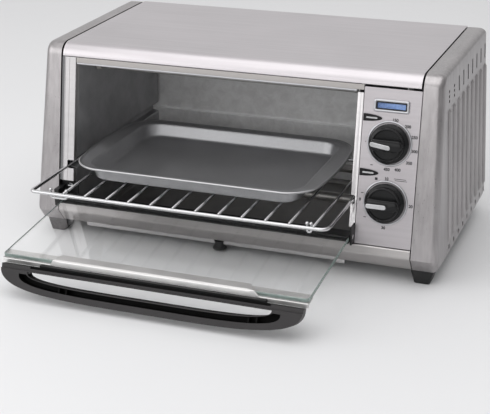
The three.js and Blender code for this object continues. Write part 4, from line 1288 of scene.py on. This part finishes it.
def make_tray():
    """A shallow tray with a lip folded down along its front edge, and a knob under the lip."""
    rings = []
    for inset, rise in TRAY_WALL:
        outline = rounded(
            TRAY_LEFT + inset, TRAY_RIGHT - inset, TRAY_FRONT + inset, TRAY_BACK - inset, 3)
        rings.append(level(outline, TRAY_BOTTOM + rise))
    piece("crumb_tray_pan", lofted(rings), DARK_SHEET, "galvanised", "crumb_tray", sharp=50, body="tray")
    floor, edge = TRAY_BOTTOM + 0.5, TRAY_FRONT - 3.4
    section = bent_strip([(TRAY_FRONT + 2, floor), (edge, floor), (edge, TRAY_BOTTOM - 4)], 0.9, 1.0)
    lip = prism(section[::-1], TRAY_LEFT + 1, TRAY_RIGHT - 1, "x")
    piece("crumb_tray_lip", lip, ZINC_BRIGHT, "galvanised", bevel=0.2, body="tray")
    piece("crumb_tray_pull", lathed(TRAY_KNOB), BLACK, "black_plastic", "crumb_tray_knob",
          OVEN @ shift(-15, 19.5, 0), sharp=35, body="tray")


# ---- stage


def make_stage():
    """A plain pale matt tabletop."""
    matt = Surface("pale_floor", (0.74, 0.74, 0.75), 0.55)
    matt.roughen(matt.noise(30), 0.50, 0.60)
    floor = solid("floor", prism(circle(0, 0, 4000, 64), -20, 0))
    floor.data.materials.append(matt.material)


def area_light(name, at, target, size, power):
    light = bpy.data.lights.new(name, "AREA")
    light.shape = "RECTANGLE"
    light.size, light.size_y = size
    light.energy = power
    obj = add_object(name, light)
    obj.location = at
    obj.rotation_euler = (Vector(target) - Vector(at)).to_track_quat("-Z", "Y").to_euler()


def make_lights():
    area_light("overhead", (0.1, -0.55, 1.8), (0, -0.1, 0.1), (2.2, 2.2), 18)
    area_light("left_window", (-1.6, -1.2, 1.0), (0, 0, 0.1), (1.8, 1.5), 12)
    area_light("front_window", (-0.1, -2.1, 0.72), (0, 0, 0.12), (2.4, 0.8), 7.5)
    area_light("right_fill", (1.7, -0.9, 0.9), (0, 0, 0.1), (0.9, 1.3), 0.4)


SKY = [(0.0, 1.0), (0.49, 0.9), (0.55, 0.55), (0.66, 0.85), (1.0, 0.9)]


def make_world():
    """A pale studio: darkest just above the horizon, dimmer to the right and brighter behind."""
    world = bpy.data.worlds.new("studio")
    world.use_nodes = True
    nodes = Nodes(world.node_tree)
    x, y, z = nodes.add("SeparateXYZ", {"Vector": nodes.add("TexCoord", {}).outputs["Generated"]}).outputs
    ramp = nodes.add("ValToRGB", {"Fac": nodes.range(z, 0, 1, (-1, 1))})
    stops = ramp.color_ramp.elements
    while len(stops) < len(SKY):
        stops.new(0.5)
    for stop, (position, value) in zip(stops, SKY):
        stop.position = position
        stop.color = (value, value, value, 1)
    side = nodes.math("MULTIPLY", ramp.outputs["Color"], nodes.range(x, 0.92, 0.40, (-0.2, 1)))
    light = nodes.math("MULTIPLY", side, nodes.range(y, 0.84, 1.16, (-1, 1)))
    nodes.feed(world.node_tree.nodes["Background"], {"Color": light})
    bpy.context.scene.world = world


CAMERA_AT = (474.1, -1173.4, 568.5)
CAMERA_YAW, CAMERA_PITCH, CAMERA_ROLL = 0.36788, 0.38118, -0.012691
CAMERA_LENS, CAMERA_SENSOR = 96.65, 36


def make_camera():
    data = bpy.data.cameras.new("camera")
    data.sensor_width = CAMERA_SENSOR
    data.lens = CAMERA_LENS
    camera = add_object("camera", data)
    turn = rotate(CAMERA_YAW, "Z") @ rotate(pi / 2 - CAMERA_PITCH, "X") @ rotate(CAMERA_ROLL, "Z")
    camera.matrix_world = Matrix.Translation(OVEN @ Vector(CAMERA_AT)) @ turn
    bpy.context.scene.camera = camera


# ---- the whole oven

for hand, sign in (("right", 1), ("left", -1)):
    make_end_cap(hand, sign)
make_top_cover()
make_sill()
for depth_name, foot_y in FOOT_Y.items():
    for hand, sign in (("right", 1), ("left", -1)):
        make_foot(depth_name, foot_y, hand, sign)
make_rear_panel()
make_cord_gland()
make_bezel()
for dial_name in KNOB_Z:
    make_marks(dial_name)
for dial_name in KNOB_Z:
    make_badge(dial_name)
    make_dial(dial_name)
make_header()
make_left_jamb()
make_right_jamb()
make_cavity_wall("left", OPENING_LEFT, RACK_LEFT)
make_cavity_wall("right", OPENING_RIGHT, RACK_RIGHT)
make_cavity_back()
make_heater_holders("left", OPENING_LEFT, 1)
make_heater_holders("right", OPENING_RIGHT, -1)
for place_name, radius in HEATER_RADIUS.items():
    for row_name in HEATER_Y:
        make_heater(place_name, row_name, radius)
make_rack()
make_hook("left", -154, 9)
make_hook("right", 115, 2)
make_pan()
make_door_glass()
make_hinge_rail()
make_door_trim()
make_handle()
make_tray()
paint_kept_nodes()
make_stage()
make_lights()
make_world()
make_camera()
bpy.context.scene.view_settings.view_transform = "Standard"
